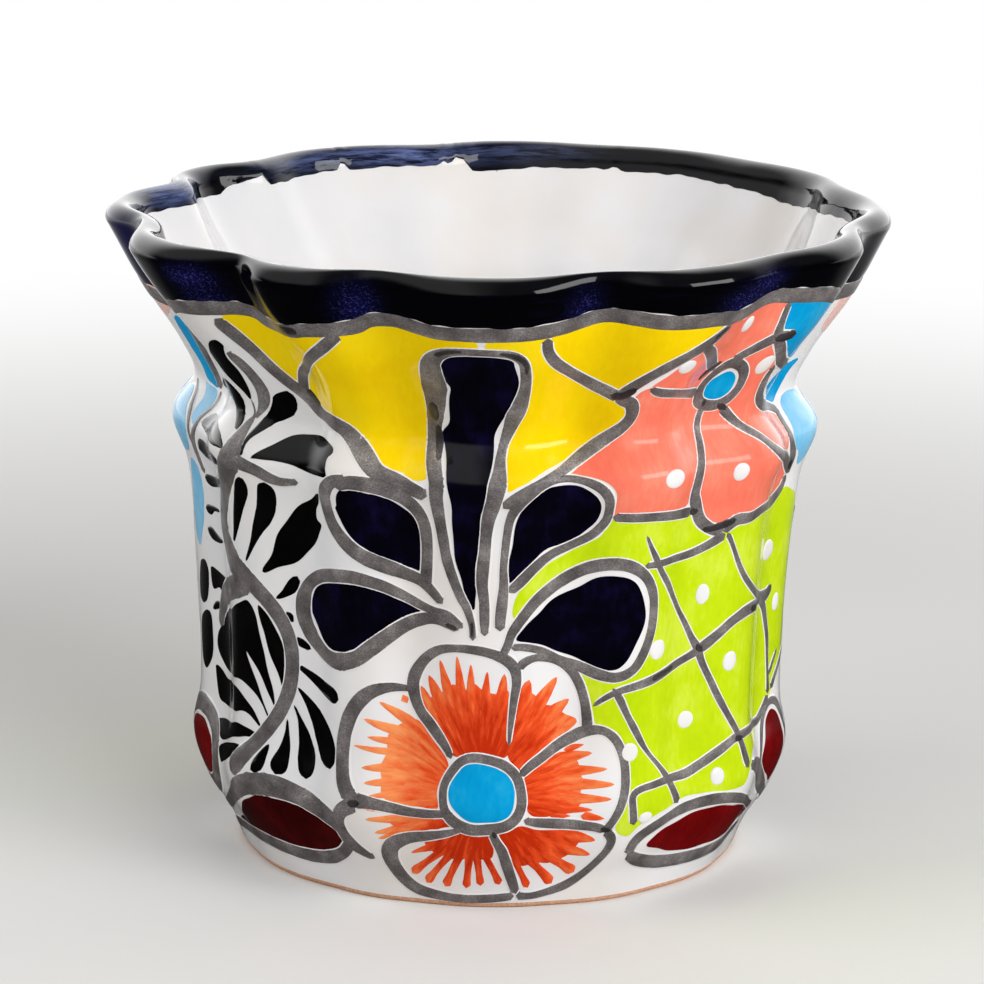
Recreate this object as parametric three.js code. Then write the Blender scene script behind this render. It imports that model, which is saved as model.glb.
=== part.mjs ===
// Hand-made glazed planter: a fluted pot with a flared collar, a shoulder ring and a thumbed, rolled rim.
// It is built the way the clay is: a floor disc on a foot ring, a fluted wall pressed in a mould, and a rim
// coil that is rolled over and pinched with the thumb. Fired together, they are one rigid piece.
// Millimetres, +Z up, origin at the centre of the foot. The front of the pot faces -Y.
import * as THREE from 'three';

// Heights above the table, from the foot to where the straight wall begins
const floorThickness = 9;
const turnHeight = 20;
const heelHeight = 32;
const waistHeight = 48;

// The whole height, and the rises above the straight wall: from the shoulder to the bulge of its ring, to the
// groove over it, to the collar, to the rim's seat, to the lip and to the crown of the roll. The straight
// wall takes up what is left of the height.
const potHeight = 192.2;
const bulgeRise = 16;
const grooveRise = 11;
const collarRise = 11;
const rimSeatRise = 16;
const lipRise = 19;
const crownRise = 5.2;

// Outside radii over the crests of the flutes, at those heights
const footRadius = 74.2;
const floorEdgeRadius = 77.9;
const turnRadius = 84.8;
const heelRadius = 88.9;
const waistRadius = 87.1;
const shoulderRadius = 91;
const bulgeRadius = 95.6;
const grooveRadius = 89.2;
const collarRadius = 93.6;
const rimSeatRadius = 104.5;
const lipRadius = 115.1;

// How far the valleys between two flutes lie inside the crests
const footFlute = 0.6;
const floorEdgeFlute = 1.4;
const heelFlute = 3.2;
const bodyFlute = 4.2;
const bulgeFlute = 5;
const grooveFlute = 5.5;
const rimSeatFlute = 7;
const lipFlute = 8.5;

// The clay
const wallThickness = 8;
const lipThickness = 9.6;
const lipCrownInset = 5.2;

// Inside the wall and on the crown of the roll, the valleys have these shares of their depth outside.
const innerFluteShare = 0.75;
const crownFluteShare = 0.55;

// Inside the wall, the floor rises a little above the ledge that the wall stands on.
const innerFloorRise = 1;
const innerFloorRadius = 58;
const cornerHeight = 7;
const seamGap = 0.3;

// The underside
const footRingWidth = 9;
const footRecess = 3;
const footChamfer = 1;
const drainRadius = 10;

// Where the mould and the thumb pressed the twelve valleys, in degrees round from the front, towards +X.
// From the collar to the lip they lean sideways, and at the lip each is deepened by its own share.
const bodyValleys = [-112, -69, -37, -15.4, 15.3, 41.5, 70.5, 102.6, 133, 163, 193, 223];
const lipValleys = [-111, -79, -43.5, -18.5, 16, 46, 75, 107, 134, 164, 192, 226];
const lipPinches = [1.2, 1.1, 1, 1, 1, 0.4, 0.7, 0.5, 0.3, 0.4, 0.9, 1];
const valleySharpness = 1.5;

// How much further the hand pulled the flute after each valley outwards, at the lip
const lipPulls = [1, 0, 0, 0, 0, 0, 0.5, 0, 0, 0, 0, 0];

// The lip isn't level: it is this much higher at +X, and lower at -X, than on the average.
const lipTilt = 1.5;

const lipHeight = potHeight - crownRise;
const rimSeatHeight = lipHeight - lipRise;
const collarHeight = rimSeatHeight - rimSeatRise;
const grooveHeight = collarHeight - collarRise;
const bulgeHeight = grooveHeight - grooveRise;
const shoulderHeight = bulgeHeight - bulgeRise;
const innerFloorHeight = floorThickness + innerFloorRise;
const valleyCount = bodyValleys.length;

const facetsPerFlute = 8;
const crownFacets = 4;
const cornerFacets = 3;

// A station of the outside: x is the crest radius, y the depth of the valleys, z the height.
const station = (radius, flute, height) => new THREE.Vector3(radius, flute, height);

const foot = station(footRadius, footFlute, 0);
const floorEdge = station(floorEdgeRadius, floorEdgeFlute, floorThickness);
const rimSeat = station(rimSeatRadius, rimSeatFlute, rimSeatHeight);
const lip = station(lipRadius, lipFlute, lipHeight);
const stations = [
  foot,
  floorEdge,
  station(turnRadius, (floorEdgeFlute + heelFlute) / 2, turnHeight),
  station(heelRadius, heelFlute, heelHeight),
  station(waistRadius, bodyFlute, waistHeight),
  station(shoulderRadius, bodyFlute, shoulderHeight),
  station(bulgeRadius, bulgeFlute, bulgeHeight),
  station(grooveRadius, grooveFlute, grooveHeight),
  station(collarRadius, (grooveFlute + rimSeatFlute) / 2, collarHeight),
  rimSeat,
  lip,
];
const facetsInSpan = [3, 2, 2, 2, 3, 3, 3, 2, 3, 3];
const outsideCurve = new THREE.CatmullRomCurve3(stations, false, 'centripetal');

// A point of a section: a radius and a height, with the depth of the valleys there.
function sectionPoint(radius, height, flute = 0) {
  const point = new THREE.Vector2(radius, height);
  point.flute = flute;
  return point;
}

// The outside skin between two stations, going up.
function outsideSkin(from, to) {
  const points = [];
  for (let span = stations.indexOf(from); span < stations.indexOf(to); span += 1) {
    const steps = facetsInSpan[span];
    for (let step = points.length ? 1 : 0; step <= steps; step += 1) {
      const t = (span + step / steps) / facetsInSpan.length;
      const { x, y, z } = outsideCurve.getPoint(t);
      const slope = outsideCurve.getTangent(t);
      const point = sectionPoint(x, z, y);
      point.lean = Math.hypot(1, slope.x / slope.z);
      points.push(point);
    }
  }
  return points;
}

// The inside skin that lies one wall behind an outside skin, going down.
function insideSkin(skin) {
  return skin.map((outside) => {
    const radius = outside.x - wallThickness * outside.lean;
    return sectionPoint(radius, outside.y, outside.flute * innerFluteShare);
  }).reverse();
}

// A quarter of an ellipse from one point to another, which starts upright and ends level, or the reverse.
function quarterRound(from, to, steps, startsUpright) {
  const points = [];
  for (let step = 1; step <= steps; step += 1) {
    const turn = (step / steps) * Math.PI / 2;
    const along = startsUpright ? 1 - Math.cos(turn) : Math.sin(turn);
    const up = startsUpright ? Math.sin(turn) : 1 - Math.cos(turn);
    points.push(sectionPoint(
      from.x + (to.x - from.x) * along,
      from.y + (to.y - from.y) * up,
      from.flute + (to.flute - from.flute) * along,
    ));
  }
  return points;
}

// How far a height is on the way from the collar to the lip, where the valleys have angles of their own.
function lipShare(height) {
  return THREE.MathUtils.smoothstep(height, collarHeight, lipHeight);
}

function valleyAngle(valley, height) {
  const body = bodyValleys[valley % valleyCount];
  const leaning = THREE.MathUtils.lerp(body, lipValleys[valley % valleyCount], lipShare(height));
  return leaning + 360 * Math.floor(valley / valleyCount);
}

// The angle of a facet column: every flute gets the same number of columns, however wide it is.
function columnAngle(column, height) {
  const flute = Math.floor(column / facetsPerFlute);
  const share = (column % facetsPerFlute) / facetsPerFlute;
  const angle = THREE.MathUtils.lerp(valleyAngle(flute, height), valleyAngle(flute + 1, height), share);
  return THREE.MathUtils.degToRad(angle);
}

// How far a point of a section lies inside the crests in one column: furthest in the bottom of a valley.
function pressedDepth(column, point) {
  const turn = (column % facetsPerFlute) / facetsPerFlute * 2 * Math.PI;
  const valley = (1 + Math.cos(turn)) / 2;
  const pinch = lipPinches[Math.round(column / facetsPerFlute) % valleyCount];
  const depth = point.flute * THREE.MathUtils.lerp(1, pinch, lipShare(point.y));
  const pulled = lipPulls[Math.floor(column / facetsPerFlute) % valleyCount] * lipShare(point.y);
  return depth * valley ** valleySharpness - pulled * (1 - valley);
}

// Turns a closed section round the pot's axis, presses the valleys into it and tilts its lip.
function flutedTurning(section) {
  const closed = [...section, section[0]];
  const columns = facetsPerFlute * valleyCount;
  const geometry = new THREE.LatheGeometry(closed, columns);
  const position = geometry.getAttribute('position');
  for (let column = 0; column <= columns; column += 1) {
    closed.forEach((point, row) => {
      const angle = columnAngle(column, point.y);
      const radius = point.x - pressedDepth(column, point);
      const tilted = Math.min(Math.max(point.y - rimSeatHeight, 0) / (lipHeight - rimSeatHeight), 1);
      const height = point.y + lipTilt * Math.sin(angle) * tilted;
      const vertex = column * closed.length + row;
      position.setXYZ(vertex, radius * Math.sin(angle), -radius * Math.cos(angle), height);
    });
  }
  geometry.computeVertexNormals();
  return geometry;
}

// The floor disc: a foot ring, the recess inside it, a drain hole, and a ledge for the wall to stand on.
function floorDisc() {
  const outside = outsideSkin(foot, floorEdge);
  const footEdge = outside[0];
  const ringInside = footEdge.x - footRingWidth;
  return flutedTurning([
    sectionPoint(drainRadius, innerFloorHeight),
    sectionPoint(drainRadius, footRecess),
    sectionPoint(ringInside - footChamfer, footRecess),
    sectionPoint(ringInside, footRecess - footChamfer),
    sectionPoint(ringInside + footChamfer, 0),
    sectionPoint(footEdge.x - footChamfer, 0, footEdge.flute),
    ...outside.slice(1),
    sectionPoint(innerFloorRadius, floorThickness),
    sectionPoint(innerFloorRadius, innerFloorHeight),
  ]);
}

// The wall stands on the floor disc, with a rounded corner inside, and its flat top carries the rim.
function bodyWall() {
  const outside = outsideSkin(floorEdge, rimSeat);
  const inside = insideSkin(outside).filter((point) => point.y > innerFloorHeight + cornerHeight);
  const cornerFoot = sectionPoint(innerFloorRadius + seamGap, innerFloorHeight);
  return flutedTurning([
    ...outside,
    ...inside,
    ...quarterRound(inside[inside.length - 1], cornerFoot, cornerFacets, true),
    sectionPoint(cornerFoot.x, floorThickness),
  ]);
}

// The rim sits on the wall, flush with it, and is rolled over at the lip.
function rimCoil() {
  const outside = outsideSkin(rimSeat, lip);
  const seat = insideSkin([outside[0]])[0];
  const lipEdge = outside[outside.length - 1];
  const crown = sectionPoint(lipEdge.x - lipCrownInset, potHeight, lipEdge.flute * crownFluteShare);
  const lipInside = sectionPoint(lipEdge.x - lipThickness, lipHeight, lipEdge.flute * innerFluteShare);
  return flutedTurning([
    ...outside,
    ...quarterRound(lipEdge, crown, crownFacets, true),
    ...quarterRound(crown, lipInside, crownFacets, false),
    seat,
  ]);
}

// Glazes and clay, as they look on the fired pot
const whiteGlaze = new THREE.MeshStandardMaterial({ color: '#efeae6', roughness: 0.12, metalness: 0 });
const cobaltGlaze = new THREE.MeshStandardMaterial({ color: '#0b0a3c', roughness: 0.06, metalness: 0 });
const bareClay = new THREE.MeshStandardMaterial({ color: '#d9a583', roughness: 0.85, metalness: 0 });

const planter = new THREE.Group();
const pieces = [
  ['floor_disc', floorDisc(), bareClay],
  ['body_wall', bodyWall(), whiteGlaze],
  ['rim_coil', rimCoil(), cobaltGlaze],
];
for (const [name, geometry, material] of pieces) {
  const mesh = new THREE.Mesh(geometry, material);
  mesh.name = name;
  planter.add(mesh);
}

export default planter;
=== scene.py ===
from math import cos, pi, radians, sin

import bpy
import numpy as np
from mathutils import Matrix, Vector
from mathutils.geometry import delaunay_2d_cdt


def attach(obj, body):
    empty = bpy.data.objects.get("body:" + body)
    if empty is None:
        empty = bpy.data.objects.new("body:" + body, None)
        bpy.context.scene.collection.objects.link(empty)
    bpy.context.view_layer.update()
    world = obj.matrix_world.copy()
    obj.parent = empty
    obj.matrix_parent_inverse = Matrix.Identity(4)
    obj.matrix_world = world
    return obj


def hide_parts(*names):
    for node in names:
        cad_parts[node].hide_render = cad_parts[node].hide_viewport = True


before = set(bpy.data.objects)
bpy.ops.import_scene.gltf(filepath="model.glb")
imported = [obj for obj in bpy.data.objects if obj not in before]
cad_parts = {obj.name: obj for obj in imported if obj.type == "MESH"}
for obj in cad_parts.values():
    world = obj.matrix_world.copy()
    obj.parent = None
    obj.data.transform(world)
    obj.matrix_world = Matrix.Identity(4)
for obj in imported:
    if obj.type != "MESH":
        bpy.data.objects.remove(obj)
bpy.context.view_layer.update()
scene = bpy.context.scene
print("frame loaded:", sorted(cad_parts))

# Sizes of the pot and its painting are in millimetres and degrees, and turn to metres as each mesh is made.
# Angle 0 is the front of the pot, -Y, and grows towards +X.
millimetre = 0.001


# The pot's form
potShape = {
    # crest radius, depth of the valleys and height of each station, from the foot to the lip
    "stations": [
        (74.2, 0.6, 0), (77.9, 1.4, 9), (84.8, 2.3, 20), (88.9, 3.2, 32), (87.1, 4.2, 48), (91, 4.2, 114),
        (95.6, 5, 130), (89.2, 5.5, 141), (93.6, 6.25, 152), (104.5, 7, 168), (115.1, 8.5, 187)],
    # the valleys between the flutes: where they are on the body, where they lean to at the lip, how deep each
    # is there against the section's depth, and how far the flute after it was pulled out there
    "bodyValleys": [-112, -69, -37, -15.4, 15.3, 41.5, 70.5, 102.6, 133, 163, 193, 223],
    "lipValleys": [-111, -79, -43.5, -18.5, 16, 46, 75, 107, 134, 164, 192, 226],
    "lipPinches": [1.2, 1.1, 1, 1, 1, 0.4, 0.7, 0.5, 0.3, 0.4, 0.9, 1],
    "lipPulls": [1, 0, 0, 0, 0, 0, 0.5, 0, 0, 0, 0, 0],
    "valleySharpness": 1.5,
    "collar": 152,
    "rimSeat": 168,
    "lip": 187,
    "lipTilt": 1.5,  # higher at +X, lower at -X
    "crownInset": 5.2,
    "crownRise": 5.2,
    "crownShare": 0.55,  # depth of the valleys on the crown, against outside
    "lipThickness": 9.6,
    "wall": 8,
    "innerShare": 0.75,  # depth of the valleys inside, against outside
    "cornerHeight": 17,
    "innerFloor": 10,
    "innerFloorRadius": 58,
    "drainRadius": 10,
    "drainRound": 2,  # how far the edge of the drain hole is rounded
    "drainFoot": 3.4,  # the glaze runs down the drain hole to this height
    "glazeEdge": 1.3,  # the glaze stops this high above the table
    "skinInset": 0.35,  # the skin lies this far inside the solids, so that colours on it stay inside them
    "sheetRadius": 88,  # the painting is laid out flat at this radius
    "curveSteps": 24,  # points from one station to the next
    "roundSteps": 16,  # points in a quarter round
    # the hand leaves the wall this uneven, in long waves and short ones, between these heights
    "longWaves": 0.12,
    "shortWaves": 0.07,
    "unevenFrom": 20,
    "unevenTo": 180,
    "unevenFade": 20,
}


def throughPoints(points, closed, steps):
    # a centripetal Catmull-Rom curve through points of any number of coordinates
    points = np.array(points, float)
    if closed:
        padded = np.vstack([points[-1:], points, points[:2]])
    else:
        padded = np.vstack([2 * points[0] - points[1], points, 2 * points[-1] - points[-2]])
    share = (np.arange(steps) / steps)[:, None]
    curve = []
    for a, b, c, d in zip(padded, padded[1:], padded[2:], padded[3:]):
        before, here, after = (max(np.linalg.norm(q - p) ** 0.5, 1e-6) for p, q in ((a, b), (b, c), (c, d)))
        start = ((b - a) / before - (c - a) / (before + here) + (c - b) / here) * here
        end = ((c - b) / here - (d - b) / (here + after) + (d - c) / after) * here
        curve.append(b + start * share + (3 * (c - b) - 2 * start - end) * share ** 2
                     + (2 * (b - c) + start + end) * share ** 3)
    if not closed:
        curve.append(points[-1:])
    return np.vstack(curve)


def quarterRound(start, end, steps, startsUpright):
    turn = (np.arange(1, steps + 1) / steps * pi / 2)[:, None]
    along = 1 - np.cos(turn) if startsUpright else np.sin(turn)
    up = np.sin(turn) if startsUpright else 1 - np.cos(turn)
    start, end = np.array(start, float), np.array(end, float)
    share = np.hstack([along, along, up])
    return start + (end - start) * share


def potSection(shape):
    # one side of the pot cut through: outside, over the lip, inside, inner floor and drain hole
    outside = throughPoints(shape["stations"], False, shape["curveSteps"])
    slope = np.gradient(outside[:, 0]) / np.gradient(outside[:, 2])
    inside = outside.copy()
    inside[:, 0] -= shape["wall"] * np.hypot(1, slope)
    inside[:, 1] *= shape["innerShare"]
    outside = outside[outside[:, 2] > shape["glazeEdge"]]
    inside = inside[(inside[:, 2] <= shape["rimSeat"]) & (inside[:, 2] > shape["cornerHeight"])][::-1]
    lip = outside[-1]
    crown = (lip[0] - shape["crownInset"], lip[1] * shape["crownShare"], lip[2] + shape["crownRise"])
    lipInside = (lip[0] - shape["lipThickness"], lip[1] * shape["innerShare"], lip[2])
    drain, edge, floor = shape["drainRadius"], shape["drainRound"], shape["innerFloor"]
    floorCorner = (shape["innerFloorRadius"], 0, floor)
    steps = shape["roundSteps"]
    drainHole = [(drain + edge, 0, floor), (drain + 0.3 * edge, 0, floor - 0.3 * edge),
                 (drain, 0, floor - edge), (drain, 0, shape["drainFoot"])]
    return np.vstack([
        outside,
        quarterRound(lip, crown, steps, True),
        quarterRound(crown, lipInside, steps, False),
        inside,
        quarterRound(inside[-1], floorCorner, steps, True),
        drainHole,
    ])


section = potSection(potShape)
sectionLength = np.concatenate([[0], np.cumsum(np.linalg.norm(np.diff(section[:, ::2], axis=0), axis=1))])
outsideRows = int(np.argmax(section[:, 2] >= potShape["lip"])) + 1
lipLength = sectionLength[outsideRows - 1]
insideLipLength = sectionLength[outsideRows - 1 + 2 * potShape["roundSteps"]]


def outsideLength(height):
    # how far along the section a height on the outside lies
    return np.interp(height, section[:outsideRows, 2], sectionLength[:outsideRows])


def pressedDepth(angle, height, flute):
    # how far the surface lies inside the crests: furthest in the bottom of a valley
    body = np.array(potShape["bodyValleys"] + [potShape["bodyValleys"][0] + 360], float)
    lip = np.array(potShape["lipValleys"] + [potShape["lipValleys"][0] + 360], float)
    leaning = np.clip((height - potShape["collar"]) / (potShape["lip"] - potShape["collar"]), 0, 1)
    leaning = leaning * leaning * (3 - 2 * leaning)
    valleys = body + (lip - body) * leaning[..., None]
    angle = (angle - valleys[..., 0]) % 360 + valleys[..., 0]
    number = np.clip((valleys <= angle[..., None]).sum(-1) - 1, 0, len(body) - 2)
    start = np.take_along_axis(valleys, number[..., None], -1)[..., 0]
    end = np.take_along_axis(valleys, number[..., None] + 1, -1)[..., 0]
    turn = (angle - start) / (end - start)
    valley = (1 + np.cos(2 * pi * turn)) / 2
    nearest = (number + (turn > 0.5)) % len(potShape["lipPinches"])
    pinch = 1 + (np.array(potShape["lipPinches"])[nearest] - 1) * leaning
    pull = np.array(potShape["lipPulls"])[number] * leaning
    return flute * pinch * valley ** potShape["valleySharpness"] - pull * (1 - valley)


def evenAngles(columns):
    return np.arange(columns) * 360 / columns


def ringPoints(radius, angle, height):
    # points round the pot's axis
    turn = np.radians(angle)
    return np.stack([radius * np.sin(turn), -radius * np.cos(turn), height + 0 * turn], -1)


def skinPoint(angle, length):
    # a point of the pot's surface, in millimetres
    shape = potShape
    radius = np.interp(length, sectionLength, section[:, 0])
    flute = np.interp(length, sectionLength, section[:, 1])
    height = np.interp(length, sectionLength, section[:, 2])
    radius = radius - pressedDepth(angle, height, flute)
    turn = np.radians(angle)
    tilted = np.clip((height - shape["rimSeat"]) / (shape["lip"] - shape["rimSeat"]), 0, 1)
    uneven = shape["longWaves"] * np.sin(3 * turn + height / 19) * np.sin(height / 31 + 1)
    uneven = uneven + shape["shortWaves"] * np.sin(11 * turn - height / 13)
    for above in (height - shape["unevenFrom"], shape["unevenTo"] - height):
        uneven = uneven * np.clip(above / shape["unevenFade"], 0, 1)
    radius = radius + uneven
    return ringPoints(radius, angle, height + shape["lipTilt"] * np.sin(turn) * tilted)


def skinPlace(angle, length, lift):
    # a point on the skin, or lifted off it, in metres
    step = 0.06
    point = skinPoint(angle, length)
    around = skinPoint(angle + step, length) - skinPoint(angle - step, length)
    along = skinPoint(angle, length + step) - skinPoint(angle, length - step)
    normal = np.cross(around, along)
    normal /= np.linalg.norm(normal, axis=-1, keepdims=True)
    lift = np.asarray(lift, float)[..., None] - potShape["skinInset"]
    return (point + normal * lift) * millimetre


def sheetPlace(sheet):
    # wraps the flat sheet, x round the pot, y up it and z off it, on the outside
    angle = np.degrees(sheet[:, 0] / potShape["sheetRadius"])
    return skinPlace(angle, outsideLength(sheet[:, 1]), sheet[:, 2])


def addObject(name, mesh):
    thing = bpy.data.objects.new(name, mesh)
    scene.collection.objects.link(thing)
    return thing


def shadeSmooth(mesh, sharpAngle=50):
    for face in mesh.polygons:
        face.use_smooth = True
    mesh.set_sharp_from_angle(angle=radians(sharpAngle))


def gridObject(name, grid, material):
    # a closed mesh from rows of points: each row goes round the pot, and the last row joins the first
    rows, columns = grid.shape[:2]
    number = np.arange(rows * columns).reshape(rows, columns)
    right = np.roll(number, -1, 1)
    up = np.roll(number, -1, 0)
    upRight = np.roll(right, -1, 0)
    faces = np.stack([number, right, upRight, up], -1).reshape(-1, 4)
    mesh = bpy.data.meshes.new(name)
    mesh.from_pydata(grid.reshape(-1, 3).tolist(), [], faces.tolist())
    mesh.materials.append(material)
    shadeSmooth(mesh)
    return addObject(name, mesh)


# Small helpers for node trees
def toLinear(hexColour):
    # an sRGB hex colour as Blender's linear colour
    parts = [int(hexColour[i:i + 2], 16) / 255 for i in (1, 3, 5)]
    return tuple(p / 12.92 if p <= 0.04045 else ((p + 0.055) / 1.055) ** 2.4 for p in parts) + (1,)


def addNode(tree, kind, inputs=None, **settings):
    # adds a node with its settings; an input is a value, a socket, or a node whose first output is meant
    node = tree.nodes.new(kind)
    for name, value in settings.items():
        setattr(node, name, value)
    for socket, value in (inputs or {}).items():
        if isinstance(value, bpy.types.Node):
            value = value.outputs[0]
        if isinstance(value, bpy.types.NodeSocket):
            tree.links.new(value, node.inputs[socket])
        else:
            node.inputs[socket].default_value = value
    return node


def setRamp(node, stops):
    # stops is a list of a place and an sRGB hex colour
    elements = node.color_ramp.elements
    while len(elements) < len(stops):
        elements.new(0.5)
    for element, (place, colour) in zip(elements, stops):
        element.position = place
        element.color = toLinear(colour)
    return node


def newMaterial(name):
    material = bpy.data.materials.new(name)
    material.use_nodes = True
    material.node_tree.nodes.clear()
    return material, material.node_tree


def inMillimetres(tree):
    # the place on a piece, for patterns that are sized in millimetres
    place = addNode(tree, "ShaderNodeTexCoord").outputs["Object"]
    return addNode(tree, "ShaderNodeMapping", {"Vector": place, "Scale": (1000, 1000, 1000)})


def finishGlaze(tree, colour, roughness, ripples, strength, relief):
    # a glassy coat whose surface swells with the ripples, by this many millimetres
    bump = addNode(tree, "ShaderNodeBump", {
        "Height": ripples, "Strength": strength, "Distance": relief * millimetre})
    shader = addNode(tree, "ShaderNodeBsdfPrincipled", {
        "Base Color": colour, "Roughness": roughness, "IOR": 1.5, "Normal": bump})
    addNode(tree, "ShaderNodeOutputMaterial", {"Surface": shader})


# Brushed glaze colours: fired, glassy, darker where the brush left a pool and paler where it thinned.
# The eye sees a wet, saturated enamel with soft brush marks and a barely uneven gloss.
def brushedGlaze(name, deep, middle, thin, roughness=0.09, patch=14, stretch=(1, 0.35, 1), relief=0.1):
    look = {"streak": 1.6, "ripple": 5}
    material, tree = newMaterial(name)
    spot = addNode(tree, "ShaderNodeAttribute", attribute_name="sheet").outputs["Vector"]
    pools = addNode(tree, "ShaderNodeTexNoise", {
        "Vector": spot, "Scale": 1 / patch, "Detail": 3, "Roughness": 0.55})
    stretched = addNode(tree, "ShaderNodeMapping", {"Vector": spot, "Scale": stretch})
    brush = addNode(tree, "ShaderNodeTexNoise", {
        "Vector": stretched, "Scale": 1 / look["streak"], "Detail": 4, "Roughness": 0.6})
    blend = addNode(tree, "ShaderNodeMix", {"Factor": 0.3, "A": pools, "B": brush}, data_type="FLOAT")
    ramp = setRamp(addNode(tree, "ShaderNodeValToRGB", {"Fac": blend}),
                   [(0.3, deep), (0.5, middle), (0.7, thin)])
    ripples = addNode(tree, "ShaderNodeTexNoise", {
        "Vector": spot, "Scale": 1 / look["ripple"], "Detail": 2})
    finishGlaze(tree, ramp, roughness, ripples, 0.5, relief)
    return material


# Tin-white glaze over pale clay: opaque, warm white, with a few iron specks and a slow, uneven gloss
def tinWhiteGlaze():
    look = {"warm": "#ebe6e1", "white": "#eeecec", "cool": "#e9e9eb", "speck": "#6a5a50",
            "patch": 40, "speckGap": 9, "speckRadius": 0.405, "speckShare": 0.4, "speckStrength": 0.6,
            "ripple": 7, "relief": 0.15, "roughness": 0.1}
    material, tree = newMaterial("tinWhiteGlaze")
    spot = inMillimetres(tree)
    clouds = addNode(tree, "ShaderNodeTexNoise", {"Vector": spot, "Scale": 1 / look["patch"], "Detail": 3})
    ramp = setRamp(addNode(tree, "ShaderNodeValToRGB", {"Fac": clouds}),
                   [(0.3, look["warm"]), (0.5, look["white"]), (0.7, look["cool"])])
    cells = addNode(tree, "ShaderNodeTexVoronoi", {"Vector": spot, "Scale": 1 / look["speckGap"]})
    choice = addNode(tree, "ShaderNodeSeparateColor", {"Color": cells.outputs["Color"]})
    # a speck's radius, as a share of the gap, and only in two fifths of the cells
    size = addNode(tree, "ShaderNodeMapRange", {
        "Value": choice.outputs["Red"], "From Min": 1 - look["speckShare"], "From Max": 1,
        "To Min": 0, "To Max": look["speckRadius"] / look["speckGap"]})
    speck = addNode(tree, "ShaderNodeMath", {0: cells, 1: size}, operation="LESS_THAN")
    strength = addNode(tree, "ShaderNodeMath", {0: speck, 1: look["speckStrength"]}, operation="MULTIPLY")
    mix = addNode(tree, "ShaderNodeMix", {
        "Factor": strength, 6: ramp, 7: toLinear(look["speck"])}, data_type="RGBA")
    ripples = addNode(tree, "ShaderNodeTexNoise", {
        "Vector": spot, "Scale": 1 / look["ripple"], "Detail": 2})
    finishGlaze(tree, mix.outputs[2], look["roughness"], ripples, 0.4, look["relief"])
    return material


# Manganese outline, drawn with a gritty black slip that fires grey: granular, half matt, with bare specks,
# paler in a band round the shoulder ring, a painted sheen where the bulge mirrors light, and darker where two
# strokes lie on each other
def manganeseLine(name, dark, middle, pale, bare):
    look = {"grain": 0.4, "cloud": 7, "sheenHeight": 136, "sheenReach": 8, "sheenPaleness": 0.07, "relief": 0.06,
            "roughness": 0.28}
    material, tree = newMaterial(name)
    spot = addNode(tree, "ShaderNodeAttribute", attribute_name="sheet").outputs["Vector"]
    grain = addNode(tree, "ShaderNodeTexNoise", {
        "Vector": spot, "Scale": 1 / look["grain"], "Detail": 3, "Roughness": 0.7})
    clouds = addNode(tree, "ShaderNodeTexNoise", {"Vector": spot, "Scale": 1 / look["cloud"], "Detail": 3})
    blend = addNode(tree, "ShaderNodeMix", {"Factor": 0.45, "A": grain, "B": clouds}, data_type="FLOAT")
    height = addNode(tree, "ShaderNodeSeparateXYZ", {"Vector": spot}).outputs["Y"]
    # painted sheen: the lines are paler in a band round the shoulder ring, where the bulge mirrors light
    above = addNode(tree, "ShaderNodeMath", {0: height, 1: look["sheenHeight"]}, operation="SUBTRACT")
    apart = addNode(tree, "ShaderNodeMath", {0: above}, operation="ABSOLUTE")
    paleSheen = addNode(tree, "ShaderNodeMapRange", {
        "Value": apart, "From Min": 0, "From Max": look["sheenReach"],
        "To Min": look["sheenPaleness"], "To Max": 0}, interpolation_type="SMOOTHSTEP")
    total = addNode(tree, "ShaderNodeMath", {0: blend, 1: paleSheen}, operation="ADD")
    ramp = setRamp(addNode(tree, "ShaderNodeValToRGB", {"Fac": total}),
                   [(0.33, dark), (0.5, middle), (0.62, pale), (0.76, bare)])
    finishGlaze(tree, ramp, look["roughness"], grain, 0.5, look["relief"])
    return material
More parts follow.
